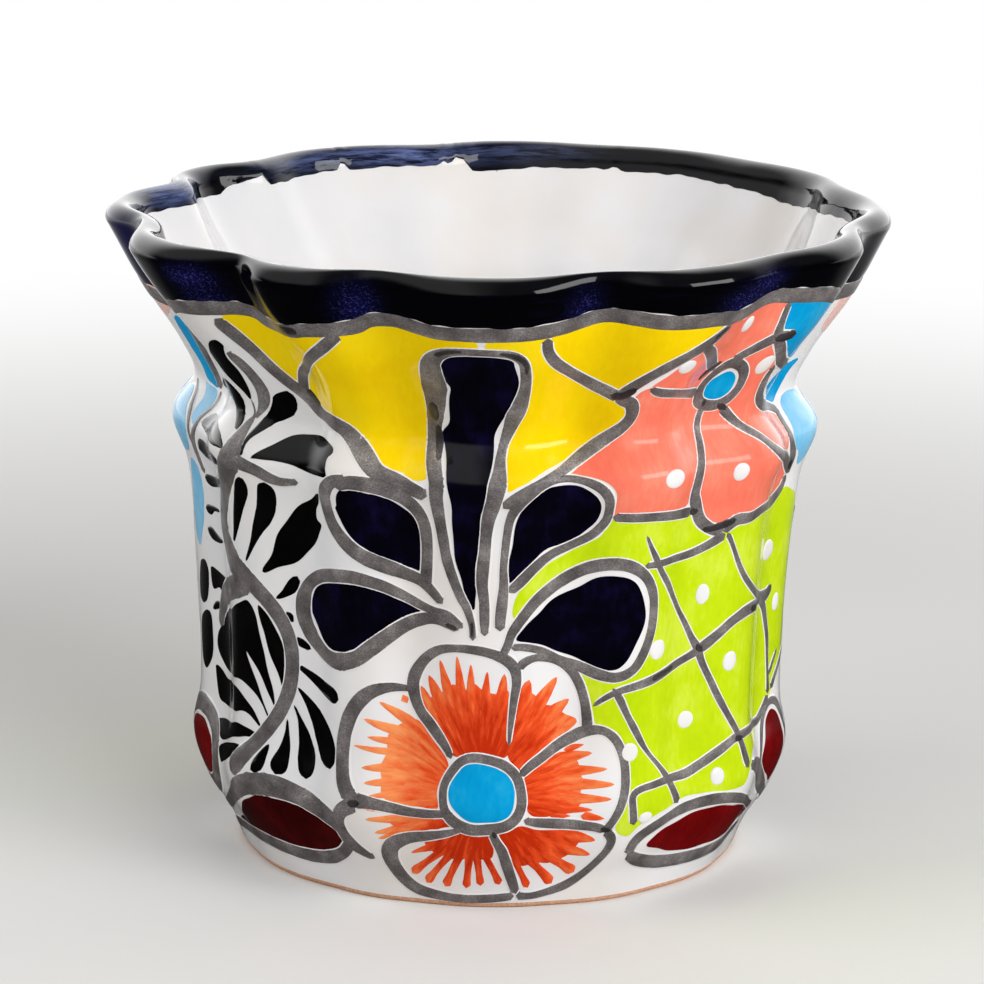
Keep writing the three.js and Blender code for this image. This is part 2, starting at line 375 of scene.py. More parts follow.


# Cobalt glaze on the rim: so thick that it fires nearly black, with a gloss like wet ink. Fine blue specks
# show where it ran thin outside and partly paint the glints where light catches it; a streaky slate blue
# inside at the back is partly a painted reflection of the bright room, and the blue at the far left is a
# painted glint
def cobaltRim():
    look = {"deep": "#010102", "middle": "#020206", "streak": "#06061c", "thin": "#0c0c3c",
            "speck": "#5a5ab4", "slateSheen": "#6a78ac", "slateSheenDeep": "#1c2240", "navyGlint": "#0a0a40",
            "speckSize": 0.6, "ripple": 6, "relief": 0.12, "roughness": 0.07}
    material, tree = newMaterial("cobaltRim")
    spot = addNode(tree, "ShaderNodeAttribute", attribute_name="sheet").outputs["Vector"]
    # streaks run round the rim, as the brush did
    along = addNode(tree, "ShaderNodeMapping", {"Vector": spot, "Scale": (0.12, 0.12, 0.9)})
    streaks = addNode(tree, "ShaderNodeTexNoise", {
        "Vector": along, "Scale": 1, "Detail": 4, "Roughness": 0.65})
    ramp = setRamp(addNode(tree, "ShaderNodeValToRGB", {"Fac": streaks}),
                   [(0.35, look["deep"]), (0.6, look["middle"]), (0.75, look["streak"])])
    # painted reflection: streaky slate blue where the inside of the rim mirrors the bright room
    slateSheenRamp = setRamp(addNode(tree, "ShaderNodeValToRGB", {"Fac": streaks}),
                        [(0.4, look["slateSheenDeep"]), (0.6, look["slateSheen"])])
    # three shares of spots: x thin glaze with painted glints, y a painted slate-blue reflection, z a painted
    # dark blue glint
    given = addNode(tree, "ShaderNodeAttribute", attribute_name="thin")
    thin = addNode(tree, "ShaderNodeSeparateXYZ", {"Vector": given.outputs["Vector"]}).outputs
    thinGlazeGlints = addNode(tree, "ShaderNodeTexNoise", {
        "Vector": spot, "Scale": 1 / look["speckSize"], "Detail": 3, "Roughness": 0.7})
    bare = addNode(tree, "ShaderNodeMapRange", {
        "Value": thinGlazeGlints, "From Min": 0.5, "From Max": 0.8}, interpolation_type="SMOOTHSTEP")
    share = addNode(tree, "ShaderNodeMath", {0: thin["X"], 1: bare}, operation="MULTIPLY", use_clamp=True)
    colour = ramp
    for factor, shade in ((thin["Z"], toLinear(look["navyGlint"])), (thin["Y"], slateSheenRamp),
                          (thin["X"], toLinear(look["thin"])), (share, toLinear(look["speck"]))):
        colour = addNode(tree, "ShaderNodeMix", {
            "Factor": factor, 6: colour, 7: shade}, data_type="RGBA").outputs[2]
    ripples = addNode(tree, "ShaderNodeTexNoise", {
        "Vector": spot, "Scale": 1 / look["ripple"], "Detail": 2})
    finishGlaze(tree, colour, look["roughness"], ripples, 0.5, look["relief"])
    return material


# Petals: iron-orange glaze pulled outwards with a dry brush, redder where the strokes start
def petalGlaze():
    # the strokes run from startReach to tipReach, in millimetres out from the flower's middle
    look = {"start": "#c42e08", "middle": "#ee5222", "tip": "#fb9a5c", "startReach": 9, "tipReach": 40,
            "roughness": 0.12}
    material, tree = newMaterial("petalGlaze")
    petal = addNode(tree, "ShaderNodeAttribute", attribute_name="petal")
    # x turns round the flower, y goes out from its middle, and z is how pale that petal came out
    along = addNode(tree, "ShaderNodeMapping", {"Vector": petal.outputs["Vector"], "Scale": (14, 0.12, 1)})
    streaks = addNode(tree, "ShaderNodeTexNoise", {
        "Vector": along, "Scale": 1, "Detail": 4, "Roughness": 0.6})
    parts = addNode(tree, "ShaderNodeSeparateXYZ", {"Vector": petal.outputs["Vector"]})
    reach = addNode(tree, "ShaderNodeMapRange", {
        "Value": parts.outputs["Y"], "From Min": look["startReach"], "From Max": look["tipReach"],
        "To Min": 0.05, "To Max": 0.8})
    wobble = addNode(tree, "ShaderNodeMapRange", {
        "Value": streaks, "From Min": 0.3, "From Max": 0.7, "To Min": -0.3, "To Max": 0.3})
    streaked = addNode(tree, "ShaderNodeMath", {0: reach, 1: wobble}, operation="ADD")
    total = addNode(tree, "ShaderNodeMath", {0: streaked, 1: parts.outputs["Z"]}, operation="ADD")
    ramp = setRamp(addNode(tree, "ShaderNodeValToRGB", {"Fac": total}),
                   [(0, look["start"]), (0.4, look["middle"]), (1, look["tip"])])
    shader = addNode(tree, "ShaderNodeBsdfPrincipled", {
        "Base Color": ramp, "Roughness": look["roughness"], "IOR": 1.5})
    addNode(tree, "ShaderNodeOutputMaterial", {"Surface": shader})
    return material


# Bare biscuit clay where the pot stood in the kiln: peach, dry and sandy
def biscuitClay():
    look = {"dark": "#b98462", "middle": "#d8a482", "pale": "#e8c1a2", "grain": 0.8, "relief": 0.2,
            "roughness": 0.85}
    material, tree = newMaterial("biscuitClay")
    grain = addNode(tree, "ShaderNodeTexNoise", {
        "Vector": inMillimetres(tree), "Scale": 1 / look["grain"], "Detail": 5, "Roughness": 0.7})
    ramp = setRamp(addNode(tree, "ShaderNodeValToRGB", {"Fac": grain}),
                   [(0.3, look["dark"]), (0.5, look["middle"]), (0.7, look["pale"])])
    bump = addNode(tree, "ShaderNodeBump", {
        "Height": grain, "Strength": 0.6, "Distance": look["relief"] * millimetre})
    shader = addNode(tree, "ShaderNodeBsdfPrincipled", {
        "Base Color": ramp, "Roughness": look["roughness"], "Normal": bump})
    addNode(tree, "ShaderNodeOutputMaterial", {"Surface": shader})
    return material


glazes = {
    "white": tinWhiteGlaze(),
    "line": manganeseLine("manganeseLine", "#3e3a3a", "#686362", "#8c8786", "#cac6c5"),
    "blot": manganeseLine("manganeseBlot", "#1c191a", "#353132", "#504c4d", "#7a7677"),
    "orange": petalGlaze(),
    "clay": biscuitClay(),
    "yellow": brushedGlaze("antimonyYellow", "#f2c800", "#fad600", "#fbde1a", patch=22),
    "coral": brushedGlaze("coralRed", "#f6705a", "#fb8168", "#fd9a82", roughness=0.12, patch=18),
    "palePink": brushedGlaze("washedPink", "#eab4a8", "#f0c4ba", "#f4d4cc"),
    "lime": brushedGlaze("limeGreen", "#b8d804", "#c8e214", "#daec4c", patch=18),
    "blue": brushedGlaze("turquoiseBlue", "#0290ca", "#049fda", "#2aaede"),
    "paleBlue": brushedGlaze("washedBlue", "#5cb4e4", "#7cc4ea", "#a4d6f0"),
    "maroon": brushedGlaze("maroonRed", "#580304", "#6c0507", "#800c0e", patch=16),
    "darkMaroon": brushedGlaze("darkMaroon", "#280203", "#380304", "#520708", patch=16),
    "black": brushedGlaze("ironBlack", "#020202", "#050404", "#0c0b0b", roughness=0.1, patch=12),
    "cobalt": brushedGlaze("cobaltBlue", "#020106", "#05030f", "#0e0a2c", roughness=0.06, patch=9,
                           stretch=(1, 0.2, 1), relief=0.15),
    "cobaltRim": cobaltRim(),
}
print("materials made:", len(glazes))


# The glazed body, from the edge of the glaze over the rim to the drain hole, closed inside the clay
bodyMesh = {
    "columns": 360,
    "outsideStep": 1.8,
    "rimStep": 0.8,
    "seatDepth": 19,  # from the lip down to the rim's seat inside
    "seatStep": 2,
    "insideStep": 2.6,
    "floorRows": 5,  # the last points of the section, from the floor's corner into the drain hole
    # radius and height of the rows that close the shell inside the clay
    "closing": [(12.5, 3.6), (71, 3.6), (72.6, 1.5)],
}


def evenSteps(start, end, step):
    count = max(1, round((end - start) / step))
    return start + (end - start) * np.arange(count) / count


def glazedBody(look):
    seat = insideLipLength + look["seatDepth"]
    last = look["floorRows"]
    lengths = np.concatenate([
        evenSteps(0, lipLength, look["outsideStep"]),
        evenSteps(lipLength, insideLipLength, look["rimStep"]),
        evenSteps(insideLipLength, seat, look["seatStep"]),
        evenSteps(seat, sectionLength[-last], look["insideStep"]),
        sectionLength[-last:],
    ])
    angles = evenAngles(look["columns"])
    angle, length = np.meshgrid(angles, lengths)
    skin = skinPlace(angle, length, np.zeros_like(length))
    closing = [ringPoints(radius, angles, height) for radius, height in look["closing"]]
    return gridObject("glazedBody", np.concatenate([skin, np.array(closing) * millimetre]), glazes["white"])


# The foot: a bare clay ring with a recess inside it, and the hole for the water
footShape = {"columns": 240, "ringWidth": 9, "recess": 3, "chamfer": 1, "top": 6, "drainGap": 0.1}


def footClay(look):
    foot = potShape["stations"][0]
    ringInside = foot[0] - look["ringWidth"]
    drain = potShape["drainRadius"] + look["drainGap"]
    chamfer, recess, top = look["chamfer"], look["recess"], look["top"]
    # radius, depth of the valleys and height of each row: over the hidden top, down the hole, back underneath
    rows = [(foot[0] - 0.2, foot[1], 1.1), (foot[0] - 0.1, foot[1], 1.5), (foot[0] - 1.6, foot[1], 3.2),
            (foot[0] - 3, foot[1], top), (drain + 3, 0, top), (drain + 1, 0, 4), (drain, 0, 3.6),
            (drain, 0, recess + 0.3), (drain + 0.3, 0, recess), (drain + 4, 0, recess),
            (40, 0, recess), (ringInside - chamfer - 1, 0, recess), (ringInside - chamfer, 0, recess - 0.2),
            (ringInside - 0.2, 0, recess - chamfer), (ringInside, 0, recess - chamfer - 0.4),
            (ringInside + chamfer * 0.5, 0, 0.3), (ringInside + chamfer * 1.4, 0, 0),
            (foot[0] - chamfer * 1.4, foot[1], 0), (foot[0] - chamfer * 0.6, foot[1], 0.25)]
    angles = evenAngles(look["columns"])
    grid = []
    for radius, flute, height in rows:
        depth = pressedDepth(angles, np.full_like(angles, height, float), flute)
        grid.append(ringPoints(radius - depth, angles, height))
    return gridObject("footClay", np.array(grid) * millimetre, glazes["clay"])


# The rim: cobalt glaze brushed over the roll, down to the outline outside and a little way down inside
rimLook = {
    # centre of the grey line under the band: angle and height
    "line": [
        (-85, 166.5), (-75, 166), (-70, 166.6), (-65, 168.3), (-60, 171.1), (-55, 172.4), (-50, 173.8),
        (-45, 174.8), (-42, 174.1), (-40, 171.6), (-37, 171), (-35, 171.2), (-32, 172.1), (-30, 172.9),
        (-25, 174.1), (-22, 175), (-20, 176.9), (-17, 177.4), (-15, 177.2), (-10, 175.5), (-5, 175.4),
        (0, 175.5), (5, 175.7), (10, 176.6), (13, 177.8), (16, 179.2), (18, 179.4), (20, 179),
        (25, 177.5), (30, 176.9), (35, 176.8), (38, 176.3), (41, 176.8), (43, 178.5), (45, 179.8),
        (47, 180.2), (50, 179.5), (55, 178.5), (60, 177), (65, 174.8), (70, 172.8), (74, 172), (85, 171),
        (95, 172.5), (105, 174.5), (118, 174), (130, 176.5), (143, 175), (155, 177), (167, 175.2),
        (180, 177), (193, 175), (205, 176.5), (217, 174), (230, 175.5), (242, 172.5), (255, 173.5),
        (265, 170)],
    "lineWidth": 4.0,
    "gapToLine": 2.35,
    # how far below the inside lip the cobalt ends, round the inside: negative where the brush missed the roll
    "insideEdge": [
        (-105, 1.3), (-112, 1.4), (-121, 3.3), (-125.5, 3.4), (-128, 0.5), (-131, -0.4), (-133.5, -1.2),
        (-135, 2), (-141, 1.9), (-147, 1.7), (-151.5, 1.4), (-152.6, -1.2), (-153.6, 1.6), (-159, 1),
        (-165, 0.7), (-169, 0.8), (-170.4, -0.6), (-171.3, 0.8), (-172.6, -2), (-174, -0.6),
        (-175.4, 3.4), (-179, 3.9), (-183, 3), (-189, 2), (-195, 1.9), (-199, 1.6), (-200.5, 0.6),
        (-202, 2.2), (-208, 2), (-216, 2.1), (-227, 2.9), (-233, 3.8), (-240, 5), (-248, 3.2),
        (-260, 2.2), (-272, 1.6), (-284, 2.6), (-296, 1.9), (-308, 3.2), (-320, 2.2), (-332, 3),
        (-344, 1.8), (-356, 2.8), (-368, 2), (-380, 3.1), (-392, 1.7), (-404, 2.6), (-416, 1.9),
        (-428, 2.8), (-440, 1.7), (-452, 2.4), (-459, 1.6)],
    # where the glaze ran thin, and where glints and a reflection are painted on it: angle, place along the
    # section above the lip, half extents and how much
    "thinGlazeGlints": [
        (-52, -4, 3.6, 3.5, 1), (-50, -12, 4, 4, 0.5), (-21, -7, 2.6, 7, 0.8), (13.5, -7, 2.4, 7, 0.6),
        (38.5, -8, 3.5, 5, 0.8), (43, -2.5, 3, 4, 0.8), (128, -5, 6, 4, 0.8), (172, -7, 6, 4, 0.6),
        (208, -5, 6, 4, 0.8)],
    # painted reflection: slate blue inside the back of the rim, where it mirrors the bright room
    "slateSheen": [
        (-108, 12, 8, 4, 0.9), (-164, 13, 11, 4, 0.9), (-145, 13, 9, 3, 0.5), (-186, 13, 8, 3, 0.3),
        (20, 13, 14, 3, 0.6)],
    # painted glints: dark blue where the ends of the rim catch the light
    "navyGlint": [(-86, -6, 8, 12, 1), (94, -6, 8, 12, 0.6)],
    "columns": 480,
    "rows": 30,
    "thickness": 0.28,
    "edgeShare": 0.35,  # of the thickness, at the band's edges
    "edgeRound": 12,  # the edges are rounded over this part of the band, a twelfth
    "depth": 0.35,  # how far the band's underside lies in the skin
    # the brush leaves both edges by these amounts, in this many waves round the pot
    "outsideWander": 0.2,
    "insideWander": 0.25,
    "waves": (23, 41, 67, 97),
}


def ringValue(pairs, angle):
    # a value that is given at some angles, all the way round
    pairs = sorted((a % 360, value) for a, value in pairs)
    places = [a for a, value in pairs]
    values = [value for a, value in pairs]
    return np.interp(angle, places, values, period=360)


def brushWander(angle, seed, amount, waves):
    turn = np.radians(angle)
    return amount * sum(np.sin(count * turn + seed * count) for count in waves) / 2


def rimSpotShares(spots, angle, above):
    # soft round spots on the rim: thin glaze, painted glints and a painted reflection, 1 at their strongest
    total = 0
    for middle, up, wide, tall, amount in spots:
        across = (angle - middle + 180) % 360 - 180
        total = total + amount * np.exp(-across ** 2 / wide ** 2 - (above - up) ** 2 / tall ** 2)
    return np.minimum(total, 1)


def rimBand(look):
    angles = evenAngles(look["columns"])
    outside = ringValue(look["line"], angles) + look["gapToLine"]
    lower = outsideLength(outside + brushWander(angles, 1, look["outsideWander"], look["waves"]))
    inside = insideLipLength + ringValue(look["insideEdge"], angles)
    upper = inside + brushWander(angles, 2, look["insideWander"], look["waves"])
    share = np.linspace(0, 1, look["rows"])
    length = lower + (upper - lower) * share[:, None]
    angle = np.broadcast_to(angles, length.shape)
    rounded = np.clip(np.minimum(share, 1 - share) * look["edgeRound"], 0, 1) ** 0.5
    dome = look["thickness"] * (look["edgeShare"] + (1 - look["edgeShare"]) * rounded)
    top = skinPlace(angle, length, np.broadcast_to(dome[:, None], length.shape))
    bottom = skinPlace(angle, length, np.full_like(length, -look["depth"]))[::-1]
    band = gridObject("rimBand", np.concatenate([top, bottom]), glazes["cobaltRim"])
    # the texture's place goes round with the band, so that it has no seam
    turn = np.radians(angle)
    around = potShape["sheetRadius"] * np.stack([np.sin(turn), np.cos(turn)], -1)
    place = np.concatenate([around, length[..., None]], -1)
    keepAttribute(band.data, "sheet", np.concatenate([place, place[::-1]]).reshape(-1, 3))
    # shares of thin glaze with painted glints, of the painted reflection and of the painted glint
    thin = np.stack([rimSpotShares(look[kind], angle, length - lipLength)
                     for kind in ("thinGlazeGlints", "slateSheen", "navyGlint")], -1)
    keepAttribute(band.data, "thin", np.concatenate([thin, thin[::-1]]).reshape(-1, 3))
    return band


def keepAttribute(mesh, name, values):
    attribute = mesh.attributes.new(name, "FLOAT_VECTOR", "POINT")
    attribute.data.foreach_set("vector", np.ascontiguousarray(values, np.float32).ravel())


pieces = {}
pieces["glazedBody"] = glazedBody(bodyMesh)
pieces["footClay"] = footClay(footShape)
pieces["rimBand"] = rimBand(rimLook)
print("body, foot and rim made")


# Colour patches: flat outlines on the sheet, filled with small triangles and wrapped on the pot
patchMesh = {
    "curveSteps": 12,  # points from one point of an outline to the next
    "edgeStep": 0.9,
    "gridStep": 1.6,
    "rowShare": 0.87,  # rows of triangles lie this share of the grid's step apart
    "edgeGap": 0.45,  # and no point of the grid comes nearer the edge than this share
    "wander": 0.16,  # the brush leaves the outline by this much
    "waves": (1.9, 3.4),  # millimetres in which each wave of that turns by a radian
    "depth": 0.3,
    "edgeLift": 0.75,  # the edge stands off by this share of the patch's lift
}


def onSheet(points, turn=0):
    # angle and height to millimetres on the sheet
    points = np.array(points, float)
    points[:, 0] = np.radians(points[:, 0] + turn) * potShape["sheetRadius"]
    return points


def evenOutline(points, look):
    curve = throughPoints(points, True, look["curveSteps"])
    closed = np.vstack([curve, curve[:1]])
    length = np.concatenate([[0], np.cumsum(np.linalg.norm(np.diff(closed, axis=0), axis=1))])
    count = max(8, round(length[-1] / look["edgeStep"]))
    places = np.linspace(0, length[-1], count, endpoint=False)
    return np.stack([np.interp(places, length, closed[:, 0]), np.interp(places, length, closed[:, 1])], -1)


def insideOutline(spots, outline):
    inside = np.zeros(len(spots), bool)
    for (x1, y1), (x2, y2) in zip(outline, np.roll(outline, -1, 0)):
        if y1 != y2:
            crosses = (y1 > spots[:, 1]) != (y2 > spots[:, 1])
            inside ^= crosses & (spots[:, 0] < (x2 - x1) * (spots[:, 1] - y1) / (y2 - y1) + x1)
    return inside


def fillOutline(outline, look):
    # a fine even grid inside the outline, so that the fill can follow the flutes
    step = look["gridStep"]
    low, high = outline.min(0), outline.max(0)
    rows = np.arange(low[1], high[1], step * look["rowShare"])
    spots = np.array([(x + (row % 2) * step / 2, y) for row, y in enumerate(rows)
                      for x in np.arange(low[0], high[0], step)])
    spots = spots[insideOutline(spots, outline)]
    away = np.array([np.min(np.sum((outline - spot) ** 2, 1)) for spot in spots])
    spots = spots[away > (look["edgeGap"] * step) ** 2] if len(spots) else spots
    corners = [Vector(p) for p in outline] + [Vector(p) for p in spots]
    found = delaunay_2d_cdt(corners, [], [list(range(len(outline)))], 1, 1e-4)
    return np.array([tuple(p) for p in found[0]]), [tuple(face) for face in found[2]]


def patchSolid(outline, lift, look):
    # a thin slab: top and bottom alike, with a wall between them
    flat, faces = fillOutline(outline, look)
    count = len(flat)
    edges = {(a, b) for face in faces for a, b in zip(face, face[1:] + face[:1])}
    rim = [(a, b) for a, b in edges if (b, a) not in edges]
    onRim = np.zeros(count, bool)
    onRim[[a for a, b in rim]] = True
    topLift = np.where(onRim, lift * look["edgeLift"], lift)
    bottomLift = np.full(count, -look["depth"])
    points = np.vstack([np.column_stack([flat, topLift]), np.column_stack([flat, bottomLift])])
    walls = [(b, a, a + count, b + count) for a, b in rim]
    bottoms = [tuple(corner + count for corner in reversed(face)) for face in faces]
    return points, faces + bottoms + walls


def paintPatches(name, glaze, lift, patches):
    # patches is a list of outlines and the angle that each is turned by
    look = patchMesh
    random = np.random.default_rng(len(name))
    points, faces, start = [], [], 0
    for outline, turn in patches:
        edge = evenOutline(onSheet(outline, turn), look)
        phase = random.uniform(0, 9, 2)
        place = np.arange(len(edge)) * look["edgeStep"]
        wave = look["wander"] * sum(np.sin(place / wide + start) for wide, start in zip(look["waves"], phase))
        side = np.roll(edge, -1, 0) - np.roll(edge, 1, 0)
        side = np.stack([side[:, 1], -side[:, 0]], -1) / np.linalg.norm(side, axis=1, keepdims=True)
        slabPoints, slabFaces = patchSolid(edge + side * wave[:, None], lift, look)
        points.append(slabPoints)
        faces += [tuple(corner + start for corner in face) for face in slabFaces]
        start += len(slabPoints)
    points = np.vstack(points)
    mesh = bpy.data.meshes.new(name)
    mesh.from_pydata(sheetPlace(points).tolist(), [], faces)
    mesh.materials.append(glaze)
    keepAttribute(mesh, "sheet", points)
    shadeSmooth(mesh)
    return addObject(name, mesh)


back = 180  # the back carries the front's painting, turned half round

yellowPanels = {
    "leftEnd": [
        (-48.5, 171.5), (-44, 173), (-42, 172), (-40, 170), (-37, 169.5), (-33, 170.3), (-30, 171.5),
        (-25.5, 173), (-24.3, 172), (-27.5, 167), (-32, 161.5), (-36, 158.5), (-38, 155.5),
        (-38.8, 152.5), (-41.5, 155.5), (-44, 161), (-46.5, 166)],
    "left": [
        (-24, 173.5), (-20, 175), (-16, 175.5), (-12, 174.3), (-8, 173.5), (-3, 173.2), (-2.6, 171),
        (-5, 170), (-8, 169), (-10, 166.5), (-11, 163), (-11, 158), (-11, 152), (-11.2, 147),
        (-11.4, 142), (-11, 136), (-12.2, 130), (-16, 130.3), (-19, 131.8), (-22, 135.5), (-25, 140),
        (-29, 143.5), (-33, 145), (-36, 145.5), (-38, 149), (-37.8, 153), (-36, 157), (-32, 161),
        (-27.5, 167), (-24.3, 172)],
    "right": [
        (-1.2, 173.3), (3, 173.5), (8, 174), (8, 170.5), (9.5, 166.5), (13, 162), (17, 157.5),
        (21.8, 152.5), (23.8, 150), (24.3, 147), (22.5, 143.5), (18, 139.5), (13, 136), (8, 132.5),
        (4.5, 130), (2.5, 128.5), (1.6, 133), (1.9, 140), (3, 145), (4.5, 150), (5, 157), (4.8, 163),
        (3.8, 168), (1, 170.3), (-1.5, 170.5)],
    "rightEnd": [
        (8.8, 174.3), (12, 175.3), (16, 177.5), (20, 177.3), (25, 175.7), (30, 175), (35.5, 175),
        (37, 173), (34, 169.5), (29, 164.5), (25, 160), (22.2, 154.5), (17, 157.8), (13, 162),
        (9.5, 166.5), (8, 170.5)],
}

coralPetals = {
    "top": [
        (35, 170), (40, 175), (41.5, 174.8), (43.5, 177), (46.5, 178.8), (50, 178.5), (50.3, 172),
        (50.5, 168), (47.5, 165), (45.5, 161.5), (43.3, 158.5), (40, 162), (37, 166)],
    "topLeft": [
        (33.7, 168.3), (37, 164.5), (40, 160.5), (42.5, 156.5), (41, 152.5), (37, 152.8), (32, 154.3),
        (27, 156.3), (29, 160), (31.5, 164)],
    "left": [
        (27, 156.3), (24.5, 153.5), (25.8, 149), (24.5, 144.5), (20.5, 141.5), (16, 136.5), (12.5, 132.3),
        (16, 131.6), (19.5, 130.3), (21.3, 127.5), (22, 122.5), (22, 120), (30, 119.5), (38, 119),
        (39.5, 122), (39.3, 128), (41, 132.5), (42.5, 138), (43.4, 143), (44, 146.5), (41.5, 149),
        (40, 151), (34, 153.3)],
    "low": [
        (44, 146.5), (43.3, 141), (42.5, 136), (41.5, 131), (41.5, 122), (42.5, 116), (45, 112),
        (48, 111), (51, 112.5), (56, 112.8), (60, 114.5), (66, 113.8), (71, 112.5), (74, 117), (73, 121),
        (70, 124), (65, 126), (60, 129), (56, 135), (51, 140.5), (47.8, 145), (46.5, 146.5)],
    "right": [
        (46.3, 160.5), (50.5, 165.5), (53, 163), (56.5, 157.5), (54.8, 153), (56, 147.5), (58.5, 143.5),
        (63, 141.5), (69, 139.5), (72.5, 137), (71.5, 131), (71, 126.5), (65, 128), (60, 131),
        (56, 136.5), (51.5, 141), (48.5, 146), (49.5, 151), (48.8, 156)],
}

pinkSpots = {
    "farLeft": [(-84, 170), (-80, 172.5), (-77.3, 171.5), (-77, 167), (-78.5, 163), (-83, 160)],
    "farRight": [(79, 169), (84, 170), (87, 168), (86, 161), (82, 158), (79, 161)],
}

limeField = {
    "field": [
        (3.8, 92), (6, 99.5), (9, 104), (13, 107.5), (17, 110.3), (20, 113), (21.5, 118), (30, 118),
        (40, 117), (44, 112), (48, 109), (52, 111), (60, 112), (70, 110), (76, 113.5), (80, 111),
        (86, 104), (90, 96), (90, 70), (88, 62), (84, 60), (80, 55), (78, 50), (75.5, 47), (72, 44),
        (68, 40.5), (62, 38), (59.5, 34), (58, 30), (52, 30.5), (46, 31.5), (40, 30.5), (34, 28.5),
        (30, 26), (28, 22.5), (25.5, 24.5), (25, 29), (26.5, 35), (27, 42), (26.5, 49), (24, 54),
        (21, 57), (19.8, 62), (18.5, 67), (16.8, 71.5), (20, 72), (24.5, 70.5), (28, 72.5), (30.5, 78),
        (31.7, 84), (31.9, 91), (31, 97), (28.5, 102), (25, 105), (20, 104.5), (15, 101.5), (10.5, 97.5),
        (7.5, 93), (5.5, 88.5)],
}

cobaltLeaves = {
    "stem": [
        (-9.5, 166), (-8.5, 168), (-6, 168.8), (-2, 168.8), (1, 168.2), (2.8, 167.4), (3.3, 165),
        (3.7, 161), (3.6, 156), (2.8, 152), (1.8, 149), (1, 146.5), (0.2, 143), (0, 140), (-0.3, 137),
        (-0.7, 132), (-1.2, 126), (-1.7, 122), (-2, 115), (-2.3, 110), (-2.8, 105), (-2.8, 101),
        (-2.9, 96), (-3.2, 92.5), (-4.6, 95), (-5.2, 98), (-5.8, 102), (-6.5, 107), (-7, 112),
        (-7.2, 117), (-7.3, 122), (-7.6, 127), (-7.9, 131), (-8.6, 136), (-9.3, 140), (-9.7, 143),
        (-8.4, 146), (-8, 150), (-7.7, 155), (-7.6, 157.5), (-8.5, 159.5), (-9.3, 162)],
    "upperLeft": [
        (-28.6, 120.5), (-27.8, 124), (-26, 126.3), (-23, 126.8), (-20.5, 125), (-17.5, 122.5),
        (-15, 119), (-13.8, 115), (-13.3, 110), (-13.4, 106), (-13.6, 102.5), (-15, 102.2), (-18, 103.7),
        (-21.5, 106), (-24.5, 109), (-27, 113), (-28.3, 117)],
    "upperRight": [
        (3.3, 100.8), (5, 103), (8, 107.5), (10, 109.8), (14, 111.8), (17, 114), (19, 117), (19.6, 120),
        (19.5, 123), (18.5, 125.5), (16, 128), (13, 129.3), (10.5, 129.3), (8, 128), (6, 125.5),
        (4.8, 121.5), (3.9, 116), (3.3, 110), (3, 104)],
    "lowerLeft": [
        (-37.8, 86.5), (-37.5, 90), (-36, 93.5), (-34, 95.2), (-30, 96.8), (-25, 97.2), (-22, 96.5),
        (-20, 95.3), (-18, 94), (-15, 91.8), (-13.5, 90.7), (-16, 88.7), (-19, 86), (-22, 82.5),
        (-25, 79), (-27, 77.2), (-29.5, 76.3), (-32, 76.3), (-34.5, 78), (-36.5, 81.5)],
    "lowerRight": [
        (4.5, 84), (6.5, 87.5), (9, 91), (11, 94), (14, 96.5), (17, 98.5), (20, 100.5), (23, 101.2),
        (25.5, 100.5), (27.5, 98.5), (29, 95), (29.6, 91), (29.6, 87), (29, 83), (27.5, 78.5), (26, 75),
        (24.5, 73.3), (22.5, 73.2), (20, 74.5), (17, 76.5), (13, 79.3), (10, 81.5), (7, 83)],
}

blueSpots = {
    "flowerMiddle": [
        (-5.8, 44.5), (-4.5, 46.3), (-1.5, 46.8), (1.5, 46), (3.7, 43.8), (4.9, 41), (5, 37), (4.3, 33.5),
        (2.8, 31), (0, 29.9), (-3, 30), (-5, 31.8), (-7, 35), (-7.4, 38.5), (-6.9, 42)],
    "petalMiddle": [
        (42.6, 151.8), (43.2, 149), (45, 147.8), (47.5, 148.8), (48.1, 151.5), (47.6, 155), (46, 157),
        (44.3, 155.5), (43, 153.3)],
    "collar": [
        (50.5, 177.5), (54, 176.5), (59, 175.7), (64, 173.5), (69, 171.2), (75, 170.5), (75.8, 163),
        (75.3, 156), (74.5, 152.5), (71.5, 155.5), (68, 157), (63, 157), (59.5, 158), (56.5, 161),
        (53.8, 165), (54.6, 168.3), (51.3, 169.8), (50.7, 173.5)],
    "groove": [
        (57.6, 150.5), (59, 152.6), (62, 152.6), (66, 150), (71, 149.3), (75, 150.6), (77.8, 151.3),
        (77, 148), (76.4, 144.5), (75, 141.5), (73.5, 139.6), (71.5, 140.6), (68, 143.3), (63.5, 144.6),
        (59.8, 146.8)],
    "leftCollar": [
        (-79, 160), (-77, 161.5), (-75.5, 158), (-75, 152), (-74.6, 146), (-73, 141.2), (-75.5, 141.6),
        (-77.8, 143), (-78.6, 148), (-79, 154)],
}

paleBlueSpots = {
    "rightBulge": [
        (74, 127.5), (76.5, 124), (78.5, 119.5), (82, 122), (84.5, 128), (86, 134), (84.5, 139.5),
        (79, 141.3), (75.6, 139), (74.3, 133)],
    "leftBulge": [
        (-78.3, 141.6), (-75.5, 140.8), (-72.8, 139.6), (-72, 136), (-72.3, 132.5), (-73.5, 129.8),
        (-75.3, 131.5), (-76.3, 134), (-76.4, 137), (-77.5, 140)],
    "leftSide": [
        (-93, 131), (-92, 135.5), (-88, 138), (-83, 138.5), (-80.5, 135), (-77.8, 130.5), (-77.3, 125),
        (-79, 121), (-84, 119.5), (-88, 121), (-91.5, 126)],
    "leftStripe": [
        (-80, 118), (-77.5, 116.5), (-76.6, 110), (-77.3, 103), (-79, 96), (-81, 91), (-83.5, 94),
        (-84.5, 101), (-83, 110)],
}

